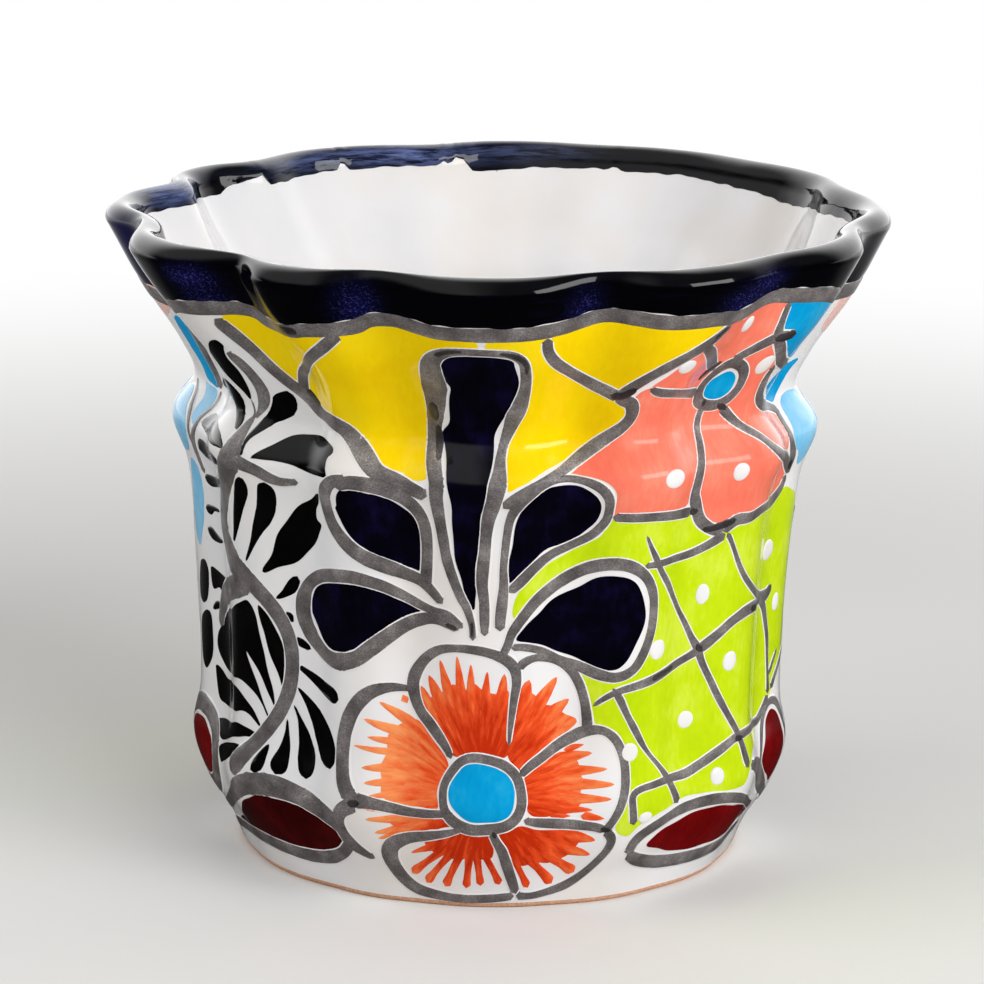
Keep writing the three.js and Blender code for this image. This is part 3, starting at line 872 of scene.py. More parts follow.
maroonHills = {
    "right": [
        (33.5, 18.5), (36, 21.5), (40, 23.5), (45, 25.3), (49.5, 26), (54, 25), (60, 22.5), (66, 19.5),
        (73, 15), (68, 13), (62, 12), (56, 11.8), (50, 11.9), (44, 12.5), (39, 14.5), (35.5, 16.5)],
    "rightBud": [
        (71.3, 32), (74, 38), (76, 43), (78, 44.8), (80.5, 42.5), (82.5, 36), (83, 29), (80, 22),
        (76, 25), (73, 28.5)],
    "leftBud": [
        (-72.8, 32), (-73.5, 28), (-76, 23.5), (-80, 21.5), (-84, 23), (-87, 28), (-88, 33), (-85, 37.5),
        (-80, 39), (-76, 37), (-73.5, 35)],
}

darkHills = {
    "left": [
        (-74, 9), (-68, 12.5), (-62, 17), (-57, 22), (-53, 25.5), (-49, 27.8), (-45, 28.4), (-41, 27.5),
        (-37, 25.8), (-33.5, 24.3), (-31.5, 22.5), (-30, 20), (-30.3, 18), (-32.5, 15.3), (-36, 13),
        (-40, 11.8), (-45, 11.5), (-50, 12), (-56, 12), (-62, 10.8), (-68, 9.5)],
}

orangeBases = {
    "top": [
        (-6.8, 49), (-9.5, 54), (-12, 59), (-12.5, 63), (-10.5, 66), (-8.5, 68), (-7, 70), (-5, 68.5),
        (-3, 71), (-1, 68.5), (1.5, 67.5), (3.4, 69), (3.7, 60), (3.7, 52), (3.2, 49.4), (1.5, 49),
        (-1, 49.4), (-3, 49.8), (-5, 48.8)],
    "topRight": [
        (3.9, 53.5), (4.6, 60), (5.2, 68), (6.5, 67), (8, 67.5), (10.5, 64), (13, 63), (15, 60),
        (17.4, 58), (15, 54), (11, 50.3), (8, 47.4), (6, 45), (4.4, 46.8), (3.4, 49.8)],
    "right": [
        (6.5, 42.3), (8, 44.3), (10.5, 46.4), (14, 47.4), (17.5, 46.5), (18.2, 43), (18.8, 40),
        (17.8, 37.5), (18, 35), (16, 32), (12, 31), (9, 31.2), (7.5, 33), (7.5, 38)],
    "lowRight": [
        (2, 26.3), (4, 27.3), (6, 28.6), (9, 27.2), (13, 26.4), (17, 26), (19, 24.4), (18, 21.5),
        (16.5, 17.5), (13, 15), (10, 15.5), (7.5, 14.5), (5, 16), (3.4, 21)],
    "low": [
        (0, 25.6), (-2.5, 25.8), (-5, 26), (-9, 24), (-12.5, 22), (-11, 19), (-8, 17.5), (-6, 16.8),
        (-4, 17.5), (-2.5, 16.5), (-1, 17), (1, 18)],
    "lowLeft": [
        (-6.4, 28.6), (-8.5, 30.4), (-13, 29.9), (-18, 29.2), (-19, 27.6), (-17.5, 25.5), (-14, 24.6),
        (-11, 25.6), (-9, 27)],
    "left": [
        (-9.6, 33.2), (-9.8, 38), (-8.7, 42.5), (-7.7, 45.5), (-9.5, 50), (-11.8, 54), (-14.5, 58),
        (-17, 57), (-19.5, 53), (-20, 48), (-21, 44), (-20.5, 40), (-20.5, 36.5), (-19, 34), (-13, 32.8)],
}

blackLeaves = {
    "collarLeaf": [
        (-57.3, 156.5), (-55.5, 160), (-53, 162.8), (-51.3, 163.5), (-50.3, 162), (-51.3, 159.8),
        (-51.8, 157.5), (-50.3, 153.5), (-50, 149), (-50.8, 144.8), (-52.5, 147), (-54.5, 150),
        (-56.5, 153.3)],
    "bulgeLeaf": [
        (-46.8, 129.8), (-45.5, 132.5), (-43.5, 134.5), (-40.5, 137), (-36, 138), (-32, 137.8),
        (-29.8, 136.8), (-29.5, 135.5), (-30.5, 134), (-30.3, 131), (-29.8, 129), (-32.5, 128.3),
        (-36.5, 128.5), (-39.5, 129.5), (-42.5, 130.3), (-44.5, 130)],
    "longLeaf": [
        (-32.8, 122.3), (-35, 120.5), (-38.5, 117.5), (-41.5, 112.5), (-43.8, 107.5), (-45.8, 101),
        (-48, 95), (-44, 97.5), (-40, 100), (-37.5, 103.5), (-34.7, 109.5), (-33.5, 112.8), (-34.8, 114),
        (-34.6, 117), (-33.3, 119.5)],
    "bigLeaf": [
        (-69.5, 74.5), (-66, 77), (-61.5, 79), (-57, 82.5), (-53.5, 85), (-52.2, 84), (-51, 81.5),
        (-50, 77.5), (-49, 72.5), (-47.8, 66), (-46.8, 60), (-46, 53.8), (-47.5, 58), (-49.5, 63),
        (-51.5, 66.5), (-54.2, 69.3), (-52.3, 64.5), (-50.3, 59), (-48.5, 54), (-47.3, 50.3),
        (-49.5, 54.5), (-51.5, 57.5), (-54.5, 59.3), (-58, 59.5), (-62, 58.3), (-66, 57.7), (-70, 58),
        (-73, 60), (-74.5, 63), (-74, 67), (-72, 70)],
    "bigLeafEdge": [
        (-49.8, 84.5), (-48.5, 83.5), (-46.5, 80.5), (-44.8, 76.5), (-44, 72), (-43.9, 66), (-44.2, 59.8),
        (-45.2, 64), (-46.7, 69.5), (-48.3, 75.5), (-49.5, 80.5)],
    "lowBlade1": [
        (-75.5, 56), (-72, 56), (-69, 55), (-65, 55.5), (-60, 56.3), (-56, 55.5), (-53, 53.2),
        (-50.5, 49.5), (-48.8, 46.5), (-50.5, 48.3), (-53, 50), (-56, 50.2), (-60, 49), (-65, 47.3),
        (-70, 46.5), (-73, 47.2), (-74.3, 50)],
    "lowBlade2": [
        (-72.3, 41.2), (-70, 42.5), (-66, 43), (-60, 45.5), (-56, 46.2), (-52.5, 45.8), (-49.8, 44.8),
        (-51, 43.8), (-55, 43.2), (-59, 41.5), (-63, 39.3), (-67, 36.8), (-69, 37), (-71, 39.3)],
    "lowBlade3": [
        (-68.5, 35), (-64, 37.5), (-60, 39.3), (-56, 40.2), (-52.7, 40), (-56, 38.5), (-60, 35),
        (-64, 32), (-67.5, 30), (-68.5, 32.5)],
    "sideLeaf": [(-76, 86), (-70, 85.8), (-66.5, 85.6), (-69, 82.5), (-70, 78.5), (-72, 81), (-75.5, 80)],
    "farOval1": [
        (-81.5, 86), (-79, 87.3), (-77.5, 85), (-77.5, 80), (-79, 75.5), (-81.5, 73.5), (-83.5, 75),
        (-83, 81)],
    "farOval2": [
        (-84, 62), (-83, 68), (-80, 71.5), (-77.5, 71.5), (-76.5, 66), (-77.5, 58), (-80.5, 53.5),
        (-83, 55.5)],
}


def bothSides(front, behind=None):
    # the outlines of the front, and those of the back, turned half round
    behind = front if behind is None else behind
    return [(outline, 0) for outline in front.values()] + [(outline, back) for outline in behind.values()]


# name, glaze, how far it stands off the skin, and outlines
patchWork = [
    ("limeField", "lime", 0.08, bothSides(limeField)),
    ("yellowPanels", "yellow", 0.1, bothSides(yellowPanels, coralPetals)),
    ("coralPetals", "coral", 0.11, bothSides(coralPetals, yellowPanels)),
    ("pinkSpots", "palePink", 0.11, bothSides(pinkSpots)),
    ("maroonHills", "maroon", 0.12, bothSides(maroonHills)),
    ("darkHills", "darkMaroon", 0.12, bothSides(darkHills)),
    ("blueSpots", "blue", 0.13, bothSides(blueSpots)),
    ("paleBlueSpots", "paleBlue", 0.12, bothSides(paleBlueSpots)),
    ("cobaltLeaves", "cobalt", 0.14, bothSides(cobaltLeaves)),
    ("orangeBases", "orange", 0.1, bothSides(orangeBases)),
    ("blackLeaves", "black", 0.12, bothSides(blackLeaves)),
]
for name, glaze, lift, patches in patchWork:
    pieces[name] = paintPatches(name, glazes[glaze], lift, patches)
    print(name, len(pieces[name].data.polygons), "faces")


def newTree(name, result, sockets):
    # a tree with named inputs and one named result; sockets has the name, kind and value of each input
    tree = bpy.data.node_groups.new(name, "GeometryNodeTree")
    for label, kind, value in sockets:
        socket = tree.interface.new_socket(label, in_out="INPUT", socket_type=kind)
        if value is not None:
            socket.default_value = value
    tree.interface.new_socket(result, in_out="OUTPUT", socket_type="NodeSocketGeometry")
    return tree, addNode(tree, "NodeGroupInput").outputs


def endTree(tree, result, geometry, glaze):
    # the tree hands back plain geometry with its glaze on
    real = addNode(tree, "GeometryNodeRealizeInstances", {"Geometry": geometry})
    glazed = addNode(tree, "GeometryNodeSetMaterial", {"Geometry": real, "Material": glaze})
    addNode(tree, "NodeGroupOutput", {result: glazed})
    return tree


# Brush strokes: nodes give each flat path its width, its round ends and a soft, raised edge
brushSection = {
    "corners": 10,  # points round the stroke's section
    "flatten": 1.55,  # the ring is made this much taller and then cut off flat, above and below
    "widen": 1.1,
    "leastReach": 0.08,  # half the width at the very end
    "crossLift": 0.003,  # each stroke lies this much over the one before it,
    "crossTurns": 9,  # and after this many it starts again
}


def brushTree(look):
    tree, given = newTree("brushStroke", "Strokes", (
        ("Paths", "NodeSocketGeometry", None), ("Spacing", "NodeSocketFloat", 1.0),
        ("Thickness", "NodeSocketFloat", 0.28), ("Wobble", "NodeSocketFloat", 0.1),
        ("Wobble Size", "NodeSocketFloat", 4.0), ("Seed", "NodeSocketFloat", 1.0),
        ("Glaze", "NodeSocketMaterial", None)))
    curves = addNode(tree, "GeometryNodeMeshToCurve", {"Mesh": given["Paths"]})
    smooth = addNode(tree, "GeometryNodeCurveSplineType", {"Curve": curves}, spline_type="CATMULL_ROM")
    even = addNode(tree, "GeometryNodeResampleCurve", {
        "Curve": smooth, "Length": given["Spacing"]}, mode="LENGTH")
    # the brush presses unevenly
    place = addNode(tree, "GeometryNodeInputPosition")
    moved = addNode(tree, "ShaderNodeVectorMath", {0: place, 1: given["Seed"]}, operation="ADD")
    finer = addNode(tree, "ShaderNodeMath", {0: 1.0, 1: given["Wobble Size"]}, operation="DIVIDE")
    noise = addNode(tree, "ShaderNodeTexNoise", {"Vector": moved, "Scale": finer, "Detail": 3.0})
    uneven = addNode(tree, "ShaderNodeMath", {0: noise, 1: 2.0, 2: -1.0}, operation="MULTIPLY_ADD")
    press = addNode(tree, "ShaderNodeMath", {
        0: uneven, 1: given["Wobble"], 2: 1.0}, operation="MULTIPLY_ADD")
    half, lift, stored = (addNode(tree, "GeometryNodeInputNamedAttribute", {"Name": name}, data_type="FLOAT")
                          for name in ("halfWidth", "lift", "reach"))
    width = addNode(tree, "ShaderNodeMath", {0: half, 1: press}, operation="MULTIPLY")
    # round ends: a circle's share of the width, by the distance to the nearer end
    along = addNode(tree, "GeometryNodeSplineParameter")
    whole = addNode(tree, "GeometryNodeSplineLength")
    rest = addNode(tree, "ShaderNodeMath", {0: whole, 1: along.outputs["Length"]}, operation="SUBTRACT")
    nearer = addNode(tree, "ShaderNodeMath", {0: along.outputs["Length"], 1: rest}, operation="MINIMUM")
    share = addNode(tree, "ShaderNodeMath", {0: nearer, 1: width}, operation="DIVIDE", use_clamp=True)
    lost = addNode(tree, "ShaderNodeMath", {0: 1.0, 1: share}, operation="SUBTRACT")
    squared = addNode(tree, "ShaderNodeMath", {0: lost, 1: lost}, operation="MULTIPLY")
    left = addNode(tree, "ShaderNodeMath", {0: 1.0, 1: squared}, operation="SUBTRACT")
    rounded = addNode(tree, "ShaderNodeMath", {0: left}, operation="SQRT")
    ring = addNode(tree, "GeometryNodeInputSplineCyclic")
    ends = addNode(tree, "ShaderNodeMath", {0: rounded, 1: ring}, operation="MAXIMUM")
    full = addNode(tree, "ShaderNodeMath", {0: width, 1: ends}, operation="MULTIPLY")
    reach = addNode(tree, "ShaderNodeMath", {0: full, 1: look["leastReach"]}, operation="MAXIMUM")
    kept = addNode(tree, "GeometryNodeStoreNamedAttribute", {
        "Geometry": even, "Name": "reach", "Value": reach}, data_type="FLOAT", domain="POINT")
    # the stroke's section: a ring of points, flattened to a slab with soft edges
    ringCurve = addNode(tree, "GeometryNodeCurvePrimitiveCircle", {
        "Resolution": look["corners"], "Radius": 1.0}, mode="RADIUS")
    corner = addNode(tree, "ShaderNodeSeparateXYZ", {"Vector": place})
    raised = addNode(tree, "ShaderNodeMath", {
        0: corner.outputs["Y"], 1: look["flatten"]}, operation="MULTIPLY")
    flat = addNode(tree, "ShaderNodeClamp", {"Value": raised, "Min": -1.0, "Max": 1.0})
    wide = addNode(tree, "ShaderNodeMath", {0: corner.outputs["X"], 1: look["widen"]}, operation="MULTIPLY")
    slab = addNode(tree, "ShaderNodeCombineXYZ", {"X": wide, "Y": flat})
    profile = addNode(tree, "GeometryNodeSetPosition", {"Geometry": ringCurve, "Position": slab})
    swept = addNode(tree, "GeometryNodeCurveToMesh", {
        "Curve": kept, "Profile Curve": profile, "Scale": stored, "Fill Caps": True})
    # height off the sheet: the same thickness however wide the stroke is, plus its own lift
    spot = addNode(tree, "ShaderNodeSeparateXYZ", {"Vector": place})
    flatHeight = addNode(tree, "ShaderNodeMath", {0: spot.outputs["Z"], 1: stored}, operation="DIVIDE")
    high = addNode(tree, "ShaderNodeMath", {
        0: flatHeight, 1: given["Thickness"], 2: lift}, operation="MULTIPLY_ADD")
    laid = addNode(tree, "ShaderNodeCombineXYZ", {
        "X": spot.outputs["X"], "Y": spot.outputs["Y"], "Z": high})
    placed = addNode(tree, "GeometryNodeSetPosition", {"Geometry": swept, "Position": laid})
    return endTree(tree, "Strokes", placed, given["Glaze"])


def runTree(name, mesh, tree, values):
    # runs a tree on a mesh that lies flat, and hands back the plain result, wrapped on the pot
    source = addObject(name + "Paths", mesh)
    modifier = source.modifiers.new(tree.name, "NODES")
    modifier.node_group = tree
    for socket, value in values.items():
        modifier[tree.interface.items_tree[socket].identifier] = value
    depsgraph = bpy.context.evaluated_depsgraph_get()
    made = bpy.data.meshes.new_from_object(source.evaluated_get(depsgraph), depsgraph=depsgraph)
    source.modifiers.clear()
    bpy.data.objects.remove(source)
    made.name = name
    flat = np.zeros(len(made.vertices) * 3, np.float32)
    made.vertices.foreach_get("co", flat)
    flat = flat.reshape(-1, 3).astype(float)
    keepAttribute(made, "sheet", flat)
    made.vertices.foreach_set("co", sheetPlace(flat).astype(np.float32).ravel())
    made.update()
    shadeSmooth(made)
    return addObject(name, made)


strokeTree = brushTree(brushSection)


def strokeObject(name, glaze, strokes, look):
    # strokes lists paths of angle, height and width, each with its turn and whether it closes
    spread, lift = look.get("spread", 0), look["lift"]
    points, edges, halves, lifts = [], [], [], []
    for number, (path, turn, closed) in enumerate(strokes):
        first = len(points)
        flat = onSheet([(angle, height) for angle, height, width in path], turn)
        points += [(x, y, 0) for x, y in flat]
        halves += [(width + spread) / 2 for angle, height, width in path]
        lifts += [lift + brushSection["crossLift"] * (number % brushSection["crossTurns"])] * len(path)
        last = len(points) - 1
        edges += [(i, i + 1) for i in range(first, last)]
        if closed:
            edges.append((last, first))
    mesh = bpy.data.meshes.new(name + "Paths")
    mesh.from_pydata(points, edges, [])
    for attribute, values in (("halfWidth", halves), ("lift", lifts)):
        mesh.attributes.new(attribute, "FLOAT", "POINT").data.foreach_set("value", values)
    return runTree(name, mesh, strokeTree, {
        "Spacing": look["spacing"], "Thickness": look["thickness"], "Wobble": look["wobble"],
        "Seed": float(len(name)), "Glaze": glaze})


greyOutlines = {
    "stem": [
        (-3.3, 83.5, 2), (-3.5, 88, 2), (-4.5, 93, 2.5), (-5.6, 96, 2.8), (-7, 101, 3), (-8.3, 107, 3.2),
        (-9, 113, 3.3), (-9.6, 119, 3.5), (-10, 125, 4), (-10, 130, 4.2), (-11, 136, 4.4),
        (-11.4, 142, 4.4), (-11.1, 147, 4.8), (-10.7, 152, 6), (-10.6, 158, 7), (-10.7, 163, 6.2),
        (-10, 166.5, 4.6), (-8, 169, 3), (-5, 170, 2.2), (0, 169.9, 2.2), (2.6, 169.3, 2.5),
        (4.3, 167, 2.7), (4.9, 163, 3), (5, 158, 3.3), (4.3, 152, 4.6), (3.5, 149, 5), (2.8, 145.5, 4),
        (1.8, 141, 2.8), (1.2, 137, 3), (1, 133, 4), (0.7, 130, 4.8), (0.1, 125, 4.4), (-0.7, 120, 3.9),
        (-1.1, 115, 3.4), (-1.3, 110, 3.4), (-1.6, 105, 3.6), (-1.7, 100, 3.4), (-1.3, 95, 3),
        (-1.2, 90, 3), (-1.1, 85, 2)],
    "upperRight": [
        (3.2, 98, 2.5), (5, 100.5, 3.3), (8, 105, 3.3), (11, 108.3, 3), (15, 110.7, 2.8),
        (18.5, 113.5, 3), (20.6, 117.5, 3), (21, 121, 2.8), (20.6, 125, 3), (18.8, 128.3, 3.2),
        (15.5, 130.4, 2.4), (12, 131, 2.2), (9, 129.9, 2.5), (6.3, 127.3, 3.4), (4.3, 124, 3.4),
        (3.1, 120, 2.6), (2.6, 115, 2.5), (2.3, 110, 2.3), (2.1, 105, 2.3), (2.2, 100, 2.8), (2, 95, 3.4),
        (1.7, 90, 3.2), (1.7, 86.5, 2.8)],
    "rightSwag": [
        (1.8, 123.5, 3), (4, 126.3, 4), (7, 129.2, 3.5), (12, 132.8, 3), (17, 137, 3.4), (21, 141, 3.8),
        (24, 144.7, 4), (25, 148, 4), (24.4, 151.5, 4), (22.3, 154, 4), (24.5, 158.5, 3.8), (28, 163, 4),
        (32, 167, 4), (35, 170, 4), (38.3, 174.2, 3)],
    "leftSwag": [
        (-49.7, 170.5, 4), (-47, 166, 4.2), (-45, 162, 4), (-43, 156.5, 4), (-41, 152.5, 4),
        (-38.5, 149, 4.5), (-36, 145, 4.5), (-34, 143.7, 3.5), (-31, 143, 4), (-28, 141.7, 4),
        (-25.5, 139, 4.2), (-23, 135.5, 4), (-20.5, 131.7, 3.6), (-17.5, 129.5, 3.8), (-14.5, 127, 4),
        (-11.8, 125.3, 4)],
    "leftDivider": [
        (-24.3, 172.8, 3), (-27, 168.5, 3.2), (-30.5, 164, 3), (-34, 159.8, 3), (-36.8, 156.5, 3.3),
        (-38, 152.5, 3.5), (-38.2, 150, 3.5)],
    "rightDivider": [
        (7.9, 174, 2.8), (8.2, 170, 3), (9.8, 166, 3.4), (13, 162, 3.2), (17, 158, 3.6), (20, 155.5, 3.8),
        (22.3, 153.5, 4)],
    "upperLeft1": [
        (-25.5, 129.3, 2.5), (-28.5, 127.8, 3), (-30.6, 124, 3.6), (-31, 120, 3.8), (-30.3, 115, 3.8),
        (-28, 110.3, 3.8), (-25, 106.7, 3.8), (-21, 104, 3.8), (-17, 101.5, 3.6), (-13.5, 99.5, 3.4),
        (-11.3, 96.8, 3), (-9.2, 93.5, 2.4)],
    "upperLeft2": [
        (-28, 126.5, 2.5), (-25, 128.3, 3.5), (-21, 127.7, 4), (-17.5, 125.3, 3.8), (-14.5, 121.8, 3.8),
        (-12.8, 117.5, 3.6), (-12.2, 112, 3.4), (-12.2, 106, 3.4), (-12.5, 100, 3.6), (-12.8, 97, 3.4)],
    "lowerLeft": [
        (-5.2, 87, 2), (-8, 90, 3), (-11, 91, 2.5), (-14, 92.5, 2.6), (-18, 95.5, 2.8), (-21.5, 98, 3),
        (-26, 99.3, 3.3), (-30.5, 98.7, 3.2), (-35, 96.8, 3), (-38, 93.5, 3), (-39.4, 88.5, 4),
        (-39.3, 83, 4), (-37.3, 77.5, 3.8), (-34, 74, 3.8), (-30, 73.3, 4), (-26, 75, 4), (-23, 78.5, 4),
        (-20, 82.2, 4), (-17, 85.5, 3.8), (-14, 87.7, 3.6), (-10.5, 88.8, 3.4), (-7, 87, 2.5),
        (-6, 86.3, 2)],
    "lowerRight": [
        (2.2, 79, 2.4), (3.2, 82.5, 2.6), (4, 86, 3), (6, 90.5, 3.4), (8.5, 95, 3.8), (11.5, 98.5, 4),
        (15, 101.5, 4.2), (19, 104, 4.3), (23, 104.8, 4.5), (26.5, 103.5, 4.2), (29.5, 100, 3.8),
        (31.2, 95, 3.8), (31.6, 90, 3.8), (31.3, 84, 3.8), (30, 78, 3.8), (27.8, 73, 3.6),
        (24.5, 71, 3.6), (21, 72, 3.8), (17.5, 74.3, 3.6), (13.5, 76.5, 3.2), (9.5, 80, 2.6),
        (6, 81.5, 2.4), (3.8, 81.5, 2)],
    "petalTop": [
        (-7.2, 48, 2), (-8, 50.5, 2.4), (-9.5, 53.5, 3.2), (-11.5, 57, 3.4), (-13.6, 60.5, 3.2),
        (-14.8, 64.5, 3.4), (-15.2, 69, 3.6), (-14.3, 73, 3.4), (-12.3, 77, 3), (-9.5, 79.8, 2.6),
        (-6, 80.8, 2.4), (-2.5, 80.6, 2.8), (0.5, 79.6, 3), (3, 77.8, 3.6), (4.6, 75, 3.4), (5, 71, 3),
        (4.6, 66.5, 2.6), (4.2, 61, 2), (3.9, 56, 1.4), (3.8, 52.5, 0.8)],
    "petalTopRight": [
        (5.2, 75, 3), (6.5, 77, 2.8), (9, 78, 2.6), (12.5, 77, 3.2), (15.5, 74, 3.4), (17.5, 69.5, 3.2),
        (18.7, 64, 3.2), (19.3, 58, 3.6), (19.2, 55.5, 4)],
    "petalRight": [
        (5.9, 43.5, 2.2), (8, 46, 3), (10.5, 48.2, 3.4), (13.5, 51, 3.6), (16.5, 53.3, 4), (19, 55, 4),
        (22, 55.3, 3), (24.3, 53, 3.2), (25.8, 49, 3.4), (26.5, 44, 3.4), (26.3, 38.5, 3.4),
        (25.3, 33, 3.2), (24, 28.5, 3.2), (22.8, 25.5, 3.4)],
    "petalRightFoot": [
        (6.8, 30.6, 2), (9, 29.6, 3), (12.5, 28.7, 3.6), (17, 27.8, 3.6), (21, 26.8, 3.4),
        (23, 25.5, 3.4)],
    "petalLowRight": [
        (23, 25.5, 3.4), (24.5, 22.5, 3.4), (24.3, 19, 3.6), (22.8, 14.5, 3.6), (20.8, 10.5, 3.6),
        (18, 7.2, 3.6), (14.5, 5.2, 3), (10, 3.8, 2.6), (6.5, 4, 2.8)],
    "petalLowSplit": [
        (0.8, 27, 2.4), (1.6, 24, 2.6), (2.8, 20.5, 3.2), (3.8, 16, 3.6), (4.8, 11.5, 3.6),
        (5.8, 7.5, 3.4), (6.4, 4.8, 3)],
    "petalLow": [
        (-4.8, 27.6, 1.6), (-8, 25.7, 2.4), (-12, 24, 3), (-16, 22.5, 3.6), (-19, 20, 4.4),
        (-20, 16, 4.6), (-19.5, 11.5, 4.4), (-17.8, 7.5, 4), (-15, 4.7, 3.6), (-10, 3.3, 3), (-5, 2.8, 3),
        (1, 3.2, 3), (6, 4, 2.8)],
    "petalLowLeft": [
        (-25.5, 32.5, 4.5), (-28.5, 29.5, 3.6), (-29.5, 26, 3.4), (-29, 22, 3.6), (-27.5, 18.5, 3.8),
        (-25, 15.8, 2.6), (-23.4, 14.5, 1.6)],
    "petalLeftFoot": [
        (-6.5, 32.5, 2), (-9, 31.8, 2.4), (-12, 31.2, 2.6), (-16, 31.3, 2.8), (-20, 32.6, 3),
        (-23.5, 33.5, 3.6), (-26, 33.5, 4.5)],
    "petalLeft": [
        (-26, 33.5, 4.5), (-27.8, 37.5, 4), (-28.6, 42, 4), (-28.8, 47.5, 4), (-28.3, 53, 4),
        (-27, 58.5, 4), (-25, 63, 3.8), (-22.5, 66, 3.4), (-19.5, 67.2, 2.6), (-16.5, 67, 1.8),
        (-14.5, 67, 2)],
    "coralSpoke1": [(34.3, 168.5, 3), (37, 165.5, 4), (40, 161.5, 4), (42.5, 158, 3.4)],
    "coralSpoke2": [(26.8, 156.5, 1.5), (29, 154.8, 3), (33, 153.6, 3), (37.5, 152, 3.2), (41, 151, 4)],
    "coralSpoke3": [(45.2, 160.5, 3.4), (47, 163, 3.6), (49.5, 165.8, 4), (51.5, 167.3, 4), (54, 167, 3)],
    "blueEdge": [
        (50.1, 177.5, 2), (50.4, 172, 2.2), (50.8, 168.5, 3), (52, 165.5, 3.6), (54.3, 161.5, 4),
        (56.5, 158.3, 4), (59.5, 156.2, 4), (64, 154.5, 5), (69, 152.5, 6), (72, 151.5, 4),
        (74.5, 151, 2.5)],
    "smallBlueEdge": [
        (55.5, 157, 3), (55.3, 152.5, 4), (56.3, 147.5, 4.4), (59, 143.8, 4), (63, 142, 4),
        (67, 140.6, 3.6), (71, 139, 3.4), (73.5, 137, 4)],
    "coralSpoke4": [
        (43.9, 146, 2.4), (43.3, 141, 2.4), (42.7, 137, 2.6), (41.2, 132.5, 3), (40, 127.5, 4.6),
        (40, 122, 5), (41.2, 118.5, 5), (43, 113.5, 4.6), (45.5, 110.5, 4), (48, 109.3, 4.5)],
    "coralSpoke5": [
        (47.7, 145.5, 3), (49.3, 143, 3.2), (52, 139.5, 3), (55.5, 136, 3.2), (58.5, 131.5, 3.6),
        (62, 128.3, 4), (66, 126.5, 4), (70, 125, 3.6), (73.5, 121.5, 4), (76, 118, 3)],
    "coralLower1": [(21.8, 119, 3), (26, 118.5, 3.2), (31, 118, 3.4), (36, 117.2, 3.6), (40.5, 116.6, 4)],
    "coralLower2": [
        (48, 109.3, 4.5), (51, 112, 4.5), (55, 111.8, 4), (60, 113, 3.6), (65, 112.3, 4.4), (70, 111, 5),
        (74, 113.5, 4), (75, 117.5, 3)],
    "coralSide": [(73, 138, 2.6), (72, 133.5, 3.4), (72.8, 128, 3.6), (75, 122.5, 3.8), (75.4, 118.5, 3)],
    "net1": [
        (28.9, 112.5, 1), (30, 109, 1.6), (31.5, 105, 2.4), (33, 101, 2.4), (35, 97, 2.6),
        (37, 92.5, 2.4), (39.3, 87.5, 2.2), (41.5, 83, 2.4), (43.5, 78, 2.6), (45, 74.5, 3.4),
        (46.2, 70, 2.6), (48.3, 64, 2.6), (50.3, 58.5, 2.8), (53, 52.5, 2.8), (55.8, 47, 3),
        (57.3, 43, 3.4), (58.3, 38, 4), (59, 35, 3)],
    "net2": [
        (29, 103.5, 2), (32, 103.5, 2.6), (36, 103.7, 2.8), (41, 103.7, 3), (45, 105.3, 3.2),
        (48.8, 108.3, 4)],
    "net3": [
        (49.3, 108.5, 2), (51, 104, 1.8), (52.8, 99, 2.2), (55, 94.5, 2.6), (58, 90.3, 2.8),
        (61.5, 86.8, 3.2), (66, 84, 4.4), (70, 81.7, 5), (73.5, 81.5, 5), (75.3, 84, 3)],
    "net4": [
        (20.3, 62.5, 1.2), (22.5, 65, 2), (25, 66.8, 2.4), (29, 68, 3), (34, 69.5, 3.4), (39, 70.9, 3.2),
        (43, 72.5, 3), (46, 74.8, 4), (49, 77.8, 3.8), (52.5, 81, 4), (57, 82.7, 4.6), (61, 82.8, 4.6),
        (66, 81.5, 4.6)],
    "net5": [
        (70, 81.5, 4.6), (72.5, 78.5, 4), (74, 73.5, 3), (75.3, 68, 2.4), (76, 61, 1.8),
        (76.6, 54.5, 1.8), (76.8, 50, 2.6)],
    "net5Fork": [(80, 62.5, 1.4), (78.3, 59, 1.8), (76.8, 55.5, 1.6)],
    "net6": [
        (23.8, 67.8, 2), (25.2, 64.5, 2.8), (26.8, 59.5, 2.4), (28.5, 55, 2.6), (30.2, 50.5, 2.2),
        (32, 46.8, 1.6), (34.8, 42.3, 2), (36.8, 38.5, 3), (38.3, 34.5, 3), (39.8, 30, 3.4)],
    "net7": [
        (28.6, 26.5, 3), (28, 31, 2.8), (27.8, 35.5, 2.6), (29.5, 37.3, 2.4), (33, 37.9, 2.4),
        (37, 38.1, 2.8), (42, 38, 3.2), (46, 40, 3.2), (50, 42.6, 3.4), (54.5, 44.9, 3.4),
        (58, 45.3, 3.4), (62, 45.2, 3.2), (67, 44.2, 3.2), (71.5, 43.8, 3.2), (74.5, 46, 3),
        (76.8, 49.5, 3)],
    "netSide": [
        (86, 104, 3.4), (90, 96, 3.6), (91, 84, 3.6), (90, 70, 3.6), (87.5, 62, 3), (83.5, 59.5, 2.5),
        (80, 55, 2.5), (78, 51, 2.5)],
    "hillRightTop": [
        (29.5, 16, 4), (29.8, 20, 4.6), (32, 23.3, 4.8), (37, 26, 4.6), (43, 28, 4.6), (49, 28.6, 4.6),
        (55, 27, 4.2), (61, 24, 3.6), (67, 20.5, 3), (74, 16.3, 3)],
    "hillRightLow": [
        (29.5, 16, 4), (32.5, 13.3, 5), (37.5, 10.8, 5.4), (43, 9.3, 5.6), (50, 8.8, 5.6), (58, 8.6, 5.4),
        (66, 8.8, 5), (74, 10.5, 4)],
